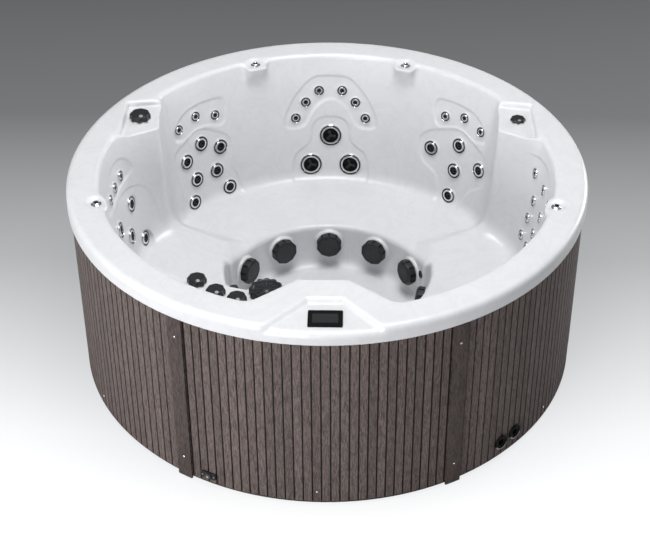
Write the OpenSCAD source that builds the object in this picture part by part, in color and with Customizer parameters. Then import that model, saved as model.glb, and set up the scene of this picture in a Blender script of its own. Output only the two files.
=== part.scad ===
// Round free-standing hot tub: moulded acrylic shell, wood-grain skirt, jets, filter, pumps and controls.
// Millimetres. +Z is up, the control console faces -Y, and the origin is on the floor under the centre.
// A bearing is an angle seen from above, 0 at the far seat (+Y) and growing towards +X.

/* [Tub] */
// Outer diameter over the rim lip
tub_d = 2130; // [2110:5:2160]
// Height from the floor to the top of the rim
tub_h = 885; // [880:1:900]
// Wall thickness of the acrylic shell
shell_t = 6; // [5:0.5:6.5]
// Width of the rim, from its outer edge to the opening
rim_w = 135; // [132:1:139]
// Depth of the lip that hangs over the skirt
lip_h = 70; // [60:1:80]
// Radius of the rounded outer edge of the rim
rim_round = 18; // [12:1:22]

/* [Seats] */
// Height of the far bench
bench_z = 281; // [276:1:286]
// Height of the side seats
side_z = 318; // [314:1:322]
// How far the foot of the seat backs lies inside the edge of the opening, at the far bench
back_lean = 102; // [98:1:106]
// Height of the footwell floor
floor_z = 63; // [60:1:66]
// Radius of the footwell along the far bench
well_r = 440; // [436:1:444]
// Radius of the footwell along the side seats
side_r = 450; // [446:1:454]
// How far the centre of that arc lies behind the middle of the tub
side_shift = 90; // [86:1:94]

/* [Jets] */
// Diameter of the face of a small neck jet
small_d = 44; // [40:1:47]
// Diameter of the face of a medium back jet
medium_d = 68; // [62:1:71]
// Diameter of the face of a large rotary jet
large_d = 102; // [96:1:106]
// Depth of the spot face that a jet sits in
spot_depth = 2; // [1.5:0.5:3]
// Diameter of a suction cover
cover_d = 114; // [108:1:118]
// Bearing between two suction covers
cover_step = 30; // [29:0.5:31]

/* [Skirt] */
// How far the rim lip stands out over the skirt
lip_reach = 12; // [11:0.5:14]
// Thickness of a skirt panel
panel_t = 10; // [9:0.5:10]
// Height of the lower edge of the skirt above the floor
skirt_z0 = 20; // [18:1:24]
// Slats on one panel
slats = 31; // [27:1:33]
// Width of a groove between two slats
groove_w = 3; // [2:0.5:4]
// Depth of a groove
groove_d = 3; // [2:0.5:4]
// Width of the strip over a joint between panels
strip_w = 64; // [60:1:72]
// Thickness of that strip
strip_t = 9; // [7:0.5:10]

/* [Controls] */
// Diameter of the diverter knob on the left shelf
diverter_d = 92; // [86:1:94]
// Diameter of the air knob on the right shelf
air_d = 66; // [60:1:70]
// Diameter of the three valve knobs beside the console
valve_d = 76; // [70:1:80]
// Width of the control panel
panel_w = 128; // [118:1:134]
// Depth of the control panel from front to back
panel_l = 92; // [86:1:96]
// Diameter of the filter cap
cap_d = 130; // [127:1:133]
// Bore of the filter well
filter_bore = 120; // [118:1:121]

/* [Hidden] */

// Clearances
run_gap = 0.4;
slip_gap = 0.6;
seat_gap = 0.3;
eps = 0.5;
far_away = 1400;

// Rim and wall
rim_r = tub_d / 2;
mouth_r = rim_r - rim_w;
back_r = mouth_r - back_lean;
rim_z = tub_h;
lip_z = rim_z - lip_h;
wall_top_z = rim_z - 16;
wall_slope = (mouth_r - back_r) / (wall_top_z - bench_z);
wall_tilt = atan(wall_slope);
function wall_r(z) = back_r + (z - bench_z) * wall_slope;

// Footwell walls lean out a little
well_draft = 10;
function well_wall_r(z) = well_r - well_draft * (bench_z - z) / (bench_z - floor_z);
well_tilt = atan(well_draft / (bench_z - floor_z));
function side_wall_r(z) = side_r - well_draft * (side_z - z) / (side_z - floor_z);
// The two arcs of the footwell cross here, and the side arc ends at the crease
arcs_meet_y = (pow(side_shift, 2) + pow(well_r, 2) - pow(side_r, 2)) / (2 * side_shift);
crease_y = 118;
cover_z = 190;

// Knob shelves between the seats
shelf_z = rim_z - 27;
shelf_bearing = 63.4;
shelf_knob_r = mouth_r - 18;
shelf_inner_r = mouth_r - 126;
shelf_outline = [[mouth_r + 80, 60.3], [mouth_r - 27, 54.5], [shelf_inner_r, 65], [mouth_r - 12, 74]];

// Pilasters under the shelves, and the arms that run on from them
nose_r = mouth_r - 133;
pilaster_outline = [[mouth_r + 80, 60.3], [mouth_r - 27, 54.5], [nose_r, 65], [mouth_r - 12, 74]];
arm_top_z = 410;
arm_w = 90;
arm_bearing = 62;

// Tabs of the rim that carry the fountain nozzles
tab_z = rim_z - 13;
tab_inner_r = mouth_r - 80;
tab_margin = 34;
tab_inner_half = 48;
tab_outer_half = 92;
tab_bearings = [-106, -21.7, 21.7, 106];
fountain_r = [for (d = [22, -8, -8, 22]) mouth_r + d];
fountain_d = 44;

// Console, with a sunken panel field open to the front
console_y = mouth_r - 168;
console_half = 113;
console_root_y = mouth_r - 25;
console_root_half = 292;
field_z = rim_z - 17;
field_y = mouth_r - 62;
field_half = 62;
field_front_half = 226;
panel_x = 12;
panel_y = mouth_r + 46;
panel_z = field_z;

// Ledge beside the console, with the valves and the filter well
// Its edge and its valves are given by how far they lie inside the mouth, and their bearing
ledge_z = rim_z - 72;
ledge_edge = [[62, -132], [62, -136], [96, -142], [144, -145.7], [138, -153.5], [150, -160]];
valve_places = [[87, -145.4], [67, -152.2], [63, -158.3]];
filter_inset = 145;
filter_side = 100.74;
filter_floor_z = bench_z + 149;
filter_wall = 12;

// Jet parts
small_r = small_d / 2;
medium_r = medium_d / 2;
large_r = large_d / 2;
flange_t = 3;
barrel_len = 62;
boss_extra = 6;
boss_overlap = 3;
small_bore = 14;
medium_bore = 24;
large_bore = 38;
barrel_wall = 3;
nut_t = 8;

// Places of the jets: bearing and height; the lowest ones stand just clear of their seat
foot_row_z = bench_z + medium_r + 2;
side_row_z = side_z + medium_r + 2;
far_neck = [for (s = [-1, 1]) for (p = [[3.4, 714], [7.4, 660], [10.6, 586]]) [s * p[0], p[1]]];
shoulder = [for (s = [-1, 1]) for (p = [[35.8, 684], [42.3, 712], [48.9, 687]]) [s * p[0], p[1]]];
left_neck = [[-78.7, 714], [-84.3, 711], [-90.2, 713]];
right_rows = [[77.2, 725], [85.9, 731], [94.6, 746], [81, 626], [90.1, 638], [80.3, 532], [88, 532],
    [79.3, 434], [85.4, 436]];
small_jets = concat(far_neck, shoulder, left_neck, right_rows);
back_left = [[-41.9, 575], [-35.5, 525], [-48.2, 523], [-37.9, 419], [-45.6, 418], [-34.2, foot_row_z],
    [-48, foot_row_z]];
back_right = [[32.5, 511], [42, 574], [41.7, 447], [51, 510], [41.1, foot_row_z]];
lounge_left = [[-77.1, 556], [-89.7, 554], [-82.6, 446], [-74.6, side_row_z]];
medium_jets = concat(back_left, back_right, lounge_left);
large_jets = [[0, 493], [-6.3, 350], [6.3, 350]];
cover_bearings = [for (i = [-3:3]) i * cover_step];

// Skirt and frame
panel_n = 6;
panel_arc = 360 / panel_n;
joint_turn = 1.2;
joint_bearings = [for (i = [0:panel_n - 1]) (i + 0.5) * panel_arc + joint_turn];
skirt_r = rim_r - lip_reach;
skirt_top_z = lip_z + 40;
post_n = 12;
post_w = 60;
post_t = 38;
ring_t = 20;
ring_r = skirt_r - panel_t;
ring_step = 2;
ring_outer = ring_r * cos(ring_step / 2) - seat_gap;
frame_h = 70;
pan_z = 18;
pan_floor_z = 8;
screw_d = 8;
strip_screw_z = [112, 724];
strip_foot = 8;
strip_h = lip_z - 3 - strip_foot;
panel_screw_z = 68;

function polar(r, a) = [r * sin(a), r * cos(a)];
function outline(list, side) = [for (p = list) polar(p[0], side * p[1])];
function middle(list) = [for (k = [0, 1]) (list[0][k] + list[1][k] + list[2][k] + list[3][k]) / 4];
// A four-cornered outline whose sides are moved outwards by about g
function grown(list, g) = [for (p = list) p + g * 1.4 * (p - middle(list)) / norm(p - middle(list))];
function arc(cx, cy, r, a0, a1, n) = [for (i = [0:n]) [cx + r * cos(a0 + (a1 - a0) * i / n),
    cy + r * sin(a0 + (a1 - a0) * i / n)]];

// Stands children at a bearing and radius, with their +Y pointing outwards
module at(a, r, z = 0) {
    rotate([0, 0, -a]) translate([0, r, z]) children();
}

// Stands children on the seat backs, with their +Z pointing into the tub
module on_wall(a, z, depth = 0) {
    at(a, wall_r(z), z) rotate([90 - wall_tilt, 0, 0]) translate([0, 0, -depth]) children();
}

// Stands children on the footwell wall, with their +Z pointing into the footwell
module on_well(a) {
    on_side = abs(a) > 75;
    reach = on_side ? side_wall_r(cover_z) : well_wall_r(cover_z);
    turn = on_side ? sign(a) * asin(side_shift / reach) : 0;
    translate([0, on_side ? side_shift : 0, 0]) at(a + turn, reach, cover_z)
        rotate([90 - well_tilt, 0, 0]) children();
}

// Shell
// Each form below takes g, how far its skin lies outside the wet surface of the tub

module wall_cone(g) {
    rotate_extrude($fn = 180)
        polygon([[0, bench_z - g], [wall_r(bench_z - g) + g, bench_z - g], [mouth_r + g, wall_top_z],
            [mouth_r + g, rim_z - g + eps], [0, rim_z - g + eps]]);
}

module footwell(g) {
    intersection() {
        translate([0, 0, floor_z - g])
            cylinder(h = bench_z - floor_z + g + 2, r1 = well_wall_r(floor_z) + g, r2 = well_r + g, $fn = 160);
        translate([-far_away, arcs_meet_y, 0]) cube([2 * far_away, far_away, far_away]);
    }
    intersection() {
        translate([0, side_shift, floor_z - g])
            cylinder(h = side_z - floor_z + g + 1, r1 = side_wall_r(floor_z) + g, r2 = side_r + g, $fn = 160);
        translate([-far_away, -far_away, 0]) cube([2 * far_away, far_away + crease_y + g, far_away]);
    }
}

module riser(g) {
    difference() {
        translate([0, 0, bench_z - g - 4]) linear_extrude(side_z - bench_z + 4)
            polygon([[-far_away, -far_away], [far_away, -far_away], [far_away, 700 - g], [650, 384 - g],
                [427 + g, 288 - g], [400, 0], [-400, 0], [-427 - g, 288 - g], [-650, 384 - g],
                [-far_away, 700 - g]]);
        translate([0, side_shift, floor_z]) cylinder(h = side_z, r = side_r + g, $fn = 160);
    }
}

module arm(g) {
    for (s = [-1, 1]) rotate([0, 0, -s * arm_bearing]) rotate([0, 0, 90]) rotate([90, 0, 0])
        translate([0, 0, -arm_w / 2 + g]) linear_extrude(arm_w - 2 * g)
            polygon([[side_r + 30 + g, bench_z - 2 * g - 1], [side_r + 40 + g, side_z - g + 2],
                [nose_r + 40, arm_top_z - g], [nose_r + 60, arm_top_z - g],
                [nose_r + 60, bench_z - 2 * g - 1]]);
}

module pilaster(g) {
    for (s = [-1, 1]) translate([0, 0, bench_z - 2 * g - 2]) linear_extrude(shelf_z - bench_z + 2 + g)
        polygon(grown(outline(pilaster_outline, s), -g));
}

module shelf_pocket(g) {
    for (s = [-1, 1]) translate([0, 0, shelf_z - g])
        linear_extrude(rim_z - shelf_z + g + (g > 0 ? -1 : eps)) polygon(grown(outline(shelf_outline, s), g));
}

module tab(g) {
    for (a = tab_bearings) rotate([0, 0, -a]) rotate([90, 0, 90])
        translate([0, 0, -tab_inner_half - 8 + g]) linear_extrude(2 * tab_inner_half + 16 - 2 * g)
            polygon([[mouth_r + 70, tab_z - g], [tab_inner_r + g, tab_z - g],
                [tab_inner_r + g, tab_z - 12], [mouth_r - 24, tab_z - 95], [mouth_r + 70, tab_z - 95]]);
}

module tab_pocket(g) {
    for (i = [0:3]) rotate([0, 0, -tab_bearings[i]]) translate([0, 0, tab_z - g])
        linear_extrude(rim_z - tab_z + g + (g > 0 ? -1 : eps)) polygon([[-tab_inner_half - g, tab_inner_r - g],
            [tab_inner_half + g, tab_inner_r - g], [tab_outer_half + g, fountain_r[i] + tab_margin + g],
            [-tab_outer_half - g, fountain_r[i] + tab_margin + g]]);
}

module console(g) {
    translate([0, 0, bench_z - 2 * g - 3]) linear_extrude(rim_z - bench_z + 3 + g)
        polygon([[-console_half + g, -console_y - g], [console_half - g, -console_y - g],
            [console_root_half - g, -console_root_y - g / 2], [console_root_half - g, -mouth_r - 30],
            [-console_root_half + g, -mouth_r - 30], [-console_root_half + g, -console_root_y - g / 2]]);
}

module console_field(g) {
    translate([0, 0, field_z - g]) linear_extrude(rim_z - field_z + g + (g > 0 ? -1 : eps))
        polygon([[-field_half - g, -field_y + g], [field_half + g, -field_y + g],
            [field_front_half + g, -rim_r - 2], [-field_front_half - g, -rim_r - 2]]);
}

function inside_mouth(place) = polar(mouth_r - place[0], place[1]);
filter_x = console_half + filter_side;
filter_xy = [-filter_x, -sqrt(pow(mouth_r - filter_inset, 2) - filter_x * filter_x)];

module at_filter() {
    translate([filter_xy[0], filter_xy[1], 0]) children();
}

module ledge(g) {
    back = polar(mouth_r + 30, ledge_edge[0][1]);
    difference() {
        translate([0, 0, bench_z - 2 * g - 3.5]) linear_extrude(ledge_z - bench_z + 3.5 + g)
            polygon(concat([for (p = ledge_edge) inside_mouth([p[0] - g, p[1] - g * 0.06])],
                [[-150, -mouth_r + 130], [-150, -mouth_r - 30], [back[0] + g, -mouth_r - 30], back + [g, 0]]));
        if (g > 0) at_filter() cylinder(h = rim_z, r = filter_bore / 2 + filter_wall, $fn = 96);
    }
    if (g == 0) at_filter() translate([0, 0, bench_z - 3.5])
        cylinder(h = ledge_z - bench_z + 3.5, r = filter_bore / 2 + filter_wall, $fn = 96);
}

module filter_well() {
    at_filter() translate([0, 0, filter_floor_z])
        cylinder(h = ledge_z - filter_floor_z + 1, r = filter_bore / 2, $fn = 96);
}

module under_filter() {
    at_filter() translate([0, 0, bench_z - 40])
        cylinder(h = filter_floor_z - shell_t - bench_z + 40, r = filter_bore / 2, $fn = 96);
}

// The wet space of the tub
module wet_space() {
    difference() {
        wall_cone(0);
        riser(0);
        arm(0);
        pilaster(0);
        tab(0);
        console(0);
        ledge(0);
    }
    footwell(0);
    shelf_pocket(0);
    tab_pocket(0);
    console_field(0);
    filter_well();
}

// The outer skin of the shell, filled up to the rim
module outer_skin() {
    difference() {
        rotate_extrude($fn = 180) polygon(concat(
            [[0, bench_z - shell_t], [wall_r(bench_z - shell_t) + shell_t, bench_z - shell_t],
                [mouth_r + shell_t, wall_top_z], [mouth_r + shell_t, rim_z - shell_t],
                [rim_r - shell_t, rim_z - shell_t], [rim_r - shell_t, lip_z], [rim_r, lip_z]],
            arc(rim_r - rim_round, rim_z - rim_round, rim_round, 0, 90, 6), [[0, rim_z]]));
        riser(shell_t);
        arm(shell_t);
        pilaster(shell_t);
        tab(shell_t);
        console_void();
        ledge(shell_t);
        under_filter();
    }
    footwell(shell_t);
    shelf_pocket(shell_t);
    tab_pocket(shell_t);
    intersection() {
        console_field(shell_t);
        cylinder(h = far_away, r = rim_r - 1, $fn = 180);
    }
}

module console_void() {
    difference() {
        console(shell_t);
        translate([0, 0, rim_z - shell_t]) cylinder(h = far_away, r = rim_r, $fn = 90);
    }
}

// Bosses behind the wall that give each jet a flat seat
module jet_bosses() {
    for (p = small_jets) on_wall(p[0], p[1], spot_depth + shell_t)
        cylinder(h = spot_depth + boss_overlap, r = small_r + boss_extra, $fn = 48);
    for (p = medium_jets) on_wall(p[0], p[1], spot_depth + shell_t)
        cylinder(h = spot_depth + boss_overlap, r = medium_r + boss_extra, $fn = 48);
    for (p = large_jets) on_wall(p[0], p[1], spot_depth + shell_t)
        cylinder(h = spot_depth + boss_overlap, r = large_r + boss_extra, $fn = 64);
}

module jet_cut(places, r, bore) {
    for (p = places) on_wall(p[0], p[1]) {
        translate([0, 0, -spot_depth]) cylinder(h = spot_depth + 8, r = r + slip_gap, $fn = 48);
        translate([0, 0, -60]) cylinder(h = 70, r = bore + barrel_wall + slip_gap, $fn = 48);
    }
}

module acrylic_shell() {
    color([0.93, 0.94, 0.95]) difference() {
        union() {
            outer_skin();
            jet_bosses();
        }
        wet_space();
        jet_cut(small_jets, small_r, small_bore);
        jet_cut(medium_jets, medium_r, medium_bore);
        jet_cut(large_jets, large_r, large_bore);
        for (a = cover_bearings) on_well(a) translate([0, 0, -20])
            cylinder(h = 40, r = suction_bore + slip_gap, $fn = 64);
        on_return() translate([0, 0, -30]) cylinder(h = 60, r = return_bore + slip_gap, $fn = 32);
        for (i = [0:3]) at(tab_bearings[i], fountain_r[i], tab_z - 40)
            cylinder(h = 80, r = fountain_bore + slip_gap, $fn = 32);
        for (k = knob_list) translate([k[0], k[1], k[2] - 40])
            cylinder(h = 60, r = stem_r(k) + slip_gap, $fn = 48);
        translate([panel_x - panel_w / 2 + 12, -panel_y - panel_l / 2 + 12, panel_z - 30])
            cube([panel_w - 24, panel_l - 24, 60]);
    }
}

// Tray under the tub, with a rim for the frame and a middle that carries the footwell
module base_pan() {
    color([0.16, 0.16, 0.17]) difference() {
        cylinder(h = pan_z, r = ring_r - 3, $fn = 180);
        translate([0, 0, pan_floor_z]) difference() {
            cylinder(h = pan_z, r = ring_r - 53, $fn = 180);
            cylinder(h = pan_z, r = well_r - 20, $fn = 120);
        }
    }
}

module floor_support() {
    color([0.85, 0.8, 0.6]) difference() {
        translate([0, 0, pan_z]) cylinder(h = floor_z - shell_t - pan_z, r = side_r - side_shift, $fn = 120);
        translate([0, 0, pan_z - 1]) cylinder(h = floor_z, r = 90, $fn = 64);
    }
}

// A length of hoop with the given section, between two bearings
module hoop(r0, r1, z0, h, a0, a1, step) {
    n = ceil((a1 - a0) / step);
    translate([0, 0, z0]) linear_extrude(h) polygon(concat(
        [for (i = [0:n]) polar(r1, a0 + (a1 - a0) * i / n)],
        [for (i = [n:-1:0]) polar(r0, a0 + (a1 - a0) * i / n)]));
}

// One course of the timber frame, as twelve curved lengths
module frame_course(z0) {
    for (i = [0:post_n - 1])
        hoop(ring_outer - ring_t, ring_outer, z0, frame_h, i * 30 + 0.05, i * 30 + 29.95, ring_step);
}

module lower_frame_ring() {
    color([0.72, 0.58, 0.4]) difference() {
        frame_course(pan_z);
        skirt_holes();
    }
}

module upper_frame_ring() {
    color([0.72, 0.58, 0.4]) difference() {
        frame_course(rim_z - shell_t - frame_h);
        translate([0, 0, field_z - shell_t - seat_gap]) linear_extrude(frame_h) polygon([
            [-field_half - 30, -field_y], [field_half + 30, -field_y],
            [field_front_half + 30, -rim_r - 2], [-field_front_half - 30, -rim_r - 2]]);
    }
}

module frame_posts() {
    inner = (ring_outer - ring_t) * cos(ring_step / 2);
    y0 = sqrt(inner * inner - post_w * post_w / 4) - post_t - seat_gap;
    color([0.75, 0.6, 0.42]) for (i = [0:post_n - 1]) at(i * 30 + 15, y0, pan_z)
        translate([-post_w / 2, 0, 0]) cube([post_w, post_t, rim_z - shell_t - 30 - pan_z]);
}

// Skirt
// One slatted panel, as tall as the tub below the lip, between two joint bearings
module skirt_panel(start) {
    gap_a = 0.15;
    a0 = start + gap_a;
    pitch = (panel_arc - 2 * gap_a) / slats;
    half = groove_w / 2 / skirt_r * 180 / PI;
    front = [for (k = [0:slats - 1]) each [
        if (k > 0) polar(skirt_r - groove_d, a0 + k * pitch + half / 2),
        polar(skirt_r, a0 + k * pitch + (k > 0 ? half : 0)),
        polar(skirt_r, a0 + (k + 1) * pitch - (k < slats - 1 ? half : 0)),
        if (k < slats - 1) polar(skirt_r - groove_d, a0 + (k + 1) * pitch - half / 2)]];
    back = [for (k = [slats:-1:0]) polar(ring_r, a0 + k * pitch)];
    translate([0, 0, skirt_z0]) linear_extrude(skirt_top_z - skirt_z0) polygon(concat(front, back));
}

// A hole through the skirt for each fitting and screw that passes it
module skirt_holes() {
    at(drain_bearing, ring_r - 30, drain_z) rotate([-90, 0, 0])
        cylinder(h = 80, r = drain_r + slip_gap, $fn = 40);
    for (p = gland_places) at(p[0], ring_r - 30, p[1]) rotate([-90, 0, 0])
        cylinder(h = 80, r = gland_r + slip_gap, $fn = 48);
    for (a = joint_bearings) at(a - panel_arc / 2, ring_r - 5, panel_screw_z) rotate([-90, 0, 0])
        cylinder(h = 40, r = screw_d / 4 + run_gap, $fn = 24);
}

module skirt_panels() {
    color([0.37, 0.34, 0.32]) difference() {
        for (a = joint_bearings) skirt_panel(a);
        skirt_holes();
    }
}

module joint_strips() {
    strip_half = strip_w / 2 / skirt_r * 180 / PI;
    color([0.33, 0.3, 0.29]) for (a = joint_bearings) difference() {
        hoop(skirt_r + seat_gap, skirt_r + strip_t, strip_foot, strip_h, a - strip_half, a + strip_half, 1);
        for (z = strip_screw_z) at(a, skirt_r - 20, z) rotate([-90, 0, 0])
            cylinder(h = 60, r = screw_d / 4 + run_gap, $fn = 24);
    }
}

// Pan-head screw whose head rests on a face at the given radius
module screw(face_r, a, z, grip) {
    at(a, face_r + 0.05, z) rotate([-90, 0, 0]) {
        cylinder(h = 1.6, r = screw_d / 2, $fn = 24);
        translate([0, 0, -grip]) cylinder(h = grip + 0.5, r = screw_d / 4, $fn = 24);
    }
}

module panel_screws() {
    color([0.7, 0.71, 0.72]) for (a = joint_bearings) {
        for (z = strip_screw_z) screw(skirt_r + strip_t, a, z, strip_t + 2);
        screw(skirt_r, a - panel_arc / 2, panel_screw_z, panel_t - 1);
    }
}

// Jet pieces, drawn with the wall surface at z = 0 and the tub towards +Z
module jet_body(r, bore) {
    difference() {
        union() {
            translate([0, 0, -spot_depth - barrel_len])
                cylinder(h = barrel_len, r = bore + barrel_wall, $fn = 48);
            translate([0, 0, -spot_depth - shell_t - nut_t - seat_gap])
                cylinder(h = nut_t, r = bore + barrel_wall + 7, $fn = 12);
            translate([0, 0, -spot_depth - barrel_len]) cylinder(h = 26, r = bore + barrel_wall + 5, $fn = 48);
        }
        translate([0, 0, -spot_depth - barrel_len + 4]) cylinder(h = barrel_len, r = bore, $fn = 48);
    }
}

module small_jet_bodies() {
    color([0.8, 0.8, 0.8]) for (p = small_jets) on_wall(p[0], p[1]) jet_body(small_r, small_bore);
}

module small_jet_rings() {
    color([0.62, 0.63, 0.64]) for (p = small_jets) on_wall(p[0], p[1]) translate([0, 0, -spot_depth])
        rotate_extrude($fn = 48) polygon([[small_bore + 0.5, 0], [small_r, 0], [small_r, 1.2],
            [small_r - 2, flange_t + 1], [small_bore + 4, flange_t + 1], [small_bore + 2, flange_t - 0.5],
            [small_bore + 0.5, flange_t - 0.5]]);
}

module small_jet_nozzles() {
    color([0.12, 0.12, 0.13]) for (p = small_jets) on_wall(p[0], p[1]) translate([0, 0, -spot_depth])
        difference() {
            union() {
                translate([0, 0, -40]) cylinder(h = 42, r = small_bore - run_gap, $fn = 40);
                cylinder(h = 5, r = small_bore - 2, $fn = 40);
            }
            translate([0, 0, -45]) cylinder(h = 60, r = 5, $fn = 32);
        }
}

module medium_jet_bodies() {
    color([0.8, 0.8, 0.8]) for (p = medium_jets) on_wall(p[0], p[1]) jet_body(medium_r, medium_bore);
}

// Turning face of a medium jet: stainless flange, dark core and one offset outlet
module medium_jet_face(i) {
    p = medium_jets[i - 1];
    color([0.55, 0.56, 0.57]) on_wall(p[0], p[1]) translate([0, 0, -spot_depth + seat_gap]) difference() {
        union() {
            rotate_extrude($fn = 64) polygon([[0, 0], [medium_r, 0], [medium_r, 1.5], [medium_r - 2.5, 5],
                [medium_bore + 3, 5], [medium_bore, 3.5], [0, 3.5]]);
            cylinder(h = 6.5, r = medium_bore - 3, $fn = 48);
            translate([0, 0, -30]) cylinder(h = 31, r = medium_bore - run_gap, $fn = 48);
        }
        translate([6, 0, -31]) cylinder(h = 50, r = 8, $fn = 32);
    }
}

module large_jet_bodies() {
    color([0.8, 0.8, 0.8]) for (p = large_jets) on_wall(p[0], p[1]) jet_body(large_r, large_bore);
}

rotor_r = large_bore - 5;

module large_jet_bezel(i) {
    p = large_jets[i - 1];
    color([0.6, 0.61, 0.62]) on_wall(p[0], p[1]) translate([0, 0, -spot_depth + seat_gap])
        rotate_extrude($fn = 72) polygon([[rotor_r + run_gap, -34], [large_bore - run_gap, -34],
            [large_bore - run_gap, 0], [large_r, 0], [large_r, 2], [large_r - 4, 7], [large_bore + 3, 7],
            [large_bore - 1, 4], [rotor_r + run_gap, 4]]);
}

// Spinning insert with three outlets
module large_jet_rotor(i) {
    p = large_jets[i - 1];
    color([0.1, 0.1, 0.11]) on_wall(p[0], p[1]) translate([0, 0, -spot_depth]) difference() {
        union() {
            translate([0, 0, -30]) cylinder(h = 32, r = rotor_r, $fn = 64);
            translate([0, 0, 2]) cylinder(h = 5, r1 = rotor_r - 4, r2 = rotor_r - 8, $fn = 64);
        }
        for (k = [0:2]) rotate([0, 0, k * 120]) translate([rotor_r * 0.52, 0, -31])
            cylinder(h = 60, r = 7, $fn = 32);
    }
}

// Suction fittings in the footwell wall; the flat flange stands off the curved wall by its sag
suction_bore = 30;
suction_len = 46;
cover_h = 24;
suction_flange_r = cover_d / 2 - 5;
wall_sag = suction_flange_r * suction_flange_r / 2 / well_wall_r(cover_z) + 0.5;
suction_flange_t = 3;

module suction_bodies() {
    color([0.85, 0.85, 0.85]) for (a = cover_bearings) on_well(a) difference() {
        union() {
            translate([0, 0, wall_sag]) cylinder(h = suction_flange_t, r = suction_flange_r, $fn = 64);
            translate([0, 0, -suction_len])
                cylinder(h = suction_len + wall_sag + 1, r = suction_bore, $fn = 64);
            translate([0, 0, -shell_t - 11]) cylinder(h = 8, r = suction_bore + 9, $fn = 12);
        }
        translate([0, 0, 4 - suction_len]) cylinder(h = suction_len + 14, r = suction_bore - 3, $fn = 64);
    }
}

// Domed covers with a faceted rim and a ring of inlet slots
module suction_covers() {
    color([0.12, 0.12, 0.13]) for (a = cover_bearings) on_well(a)
        translate([0, 0, wall_sag + suction_flange_t + seat_gap]) difference() {
        union() {
            cylinder(h = 13, r = cover_d / 2, $fn = 12);
            translate([0, 0, 12.5])
                cylinder(h = cover_h - 12.5, r1 = cover_d / 2 - 3, r2 = cover_d / 2 - 19, $fn = 48);
        }
        translate([0, 0, -1]) cylinder(h = 15, r = cover_d / 2 - 9, $fn = 64);
        for (k = [0:11]) rotate([0, 0, k * 30 + 15]) translate([cover_d / 2 - 14, -5, 4]) cube([20, 10, 7]);
    }
}

return_bore = 11;
return_bearing = 70;
return_z = 220;

module on_return() {
    at(return_bearing, well_wall_r(return_z), return_z) rotate([90 - well_tilt, 0, 0]) children();
}

// Small slotted return of the heater circuit
module heater_return() {
    color([0.08, 0.08, 0.09]) on_return() difference() {
        union() {
            translate([0, 0, 0.4]) cylinder(h = 5, r = return_bore + 7, $fn = 32);
            translate([0, 0, -36]) cylinder(h = 37, r = return_bore, $fn = 32);
        }
        translate([0, 0, -40]) cylinder(h = 60, r = return_bore - 4, $fn = 32);
    }
}

fountain_bore = 12;

module fountain_nozzles() {
    color([0.85, 0.86, 0.87]) for (i = [0:3]) at(tab_bearings[i], fountain_r[i], tab_z) difference() {
        union() {
            translate([0, 0, 0.05]) cylinder(h = 5, r1 = fountain_d / 2, r2 = fountain_d / 2 - 4, $fn = 48);
            translate([0, 0, -26]) cylinder(h = 27, r = fountain_bore, $fn = 32);
            translate([0, 0, 4]) cylinder(h = 5, r = 13, $fn = 32);
        }
        translate([0, 0, -30]) cylinder(h = 60, r = 7, $fn = 32);
    }
}

// Knobs and the valves under them: x, y, height of the seat, knob diameter, knob height
shelf_left = polar(shelf_knob_r, -shelf_bearing);
shelf_right = polar(shelf_knob_r, shelf_bearing);
knob_list = concat(
    [concat(shelf_left, [shelf_z, diverter_d, 31]), concat(shelf_right, [shelf_z, air_d, 16])],
    [for (p = valve_places) concat(inside_mouth(p), [ledge_z, valve_d, 28])]);
function stem_r(k) = k[3] > 70 ? 22 : 14;

// Fluted knob with eight lobes and a thumb dish, on the collar of its valve
function lobed(r, lobes, depth, n) = [for (i = [0:n - 1])
    polar(r - depth * (1 - cos(lobes * i * 360 / n)) / 2, i * 360 / n)];

module knob(k, lobes = 8) {
    r = k[3] / 2;
    translate([k[0], k[1], k[2] + 3.3]) difference() {
        union() {
            linear_extrude(k[4] - 7) polygon(lobed(r, lobes, r * 0.14, 96));
            translate([0, 0, k[4] - 8]) cylinder(h = 5, r1 = r * 0.82, r2 = r * 0.74, $fn = 64);
        }
        rotate([0, 0, 215]) translate([r * 0.5, 0, k[4] - 5]) cylinder(h = 20, r = r * 0.2, $fn = 32);
        translate([0, 0, -1]) cylinder(h = k[4] - 9, r = stem_r(k) - 6 + run_gap, $fn = 32);
    }
}

module diverter_knob() { color([0.11, 0.11, 0.12]) knob(knob_list[0]); }
module air_knob() { color([0.11, 0.11, 0.12]) knob(knob_list[1]); }
module valve_knob(i) { color([0.11, 0.11, 0.12]) knob(knob_list[1 + i]); }

module valve_bodies() {
    color([0.82, 0.82, 0.82]) for (k = knob_list) translate([k[0], k[1], k[2]]) {
        translate([0, 0, 0.05]) cylinder(h = 3, r = k[3] / 2 * 0.86, $fn = 64);
        translate([0, 0, 1]) cylinder(h = k[4] - 8.2, r = stem_r(k) - 6, $fn = 32);
        translate([0, 0, -shell_t - 62]) cylinder(h = shell_t + 64, r = stem_r(k), $fn = 48);
        translate([0, 0, -shell_t - 12.3]) cylinder(h = 12, r = stem_r(k) + 8, $fn = 12);
    }
}

// Filter: a lobed cap that lifts out of the well, and the pleated cartridge under it
cap_lobes = 12;
lobe_r = 10;
cartridge_core_r = 22;

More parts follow.
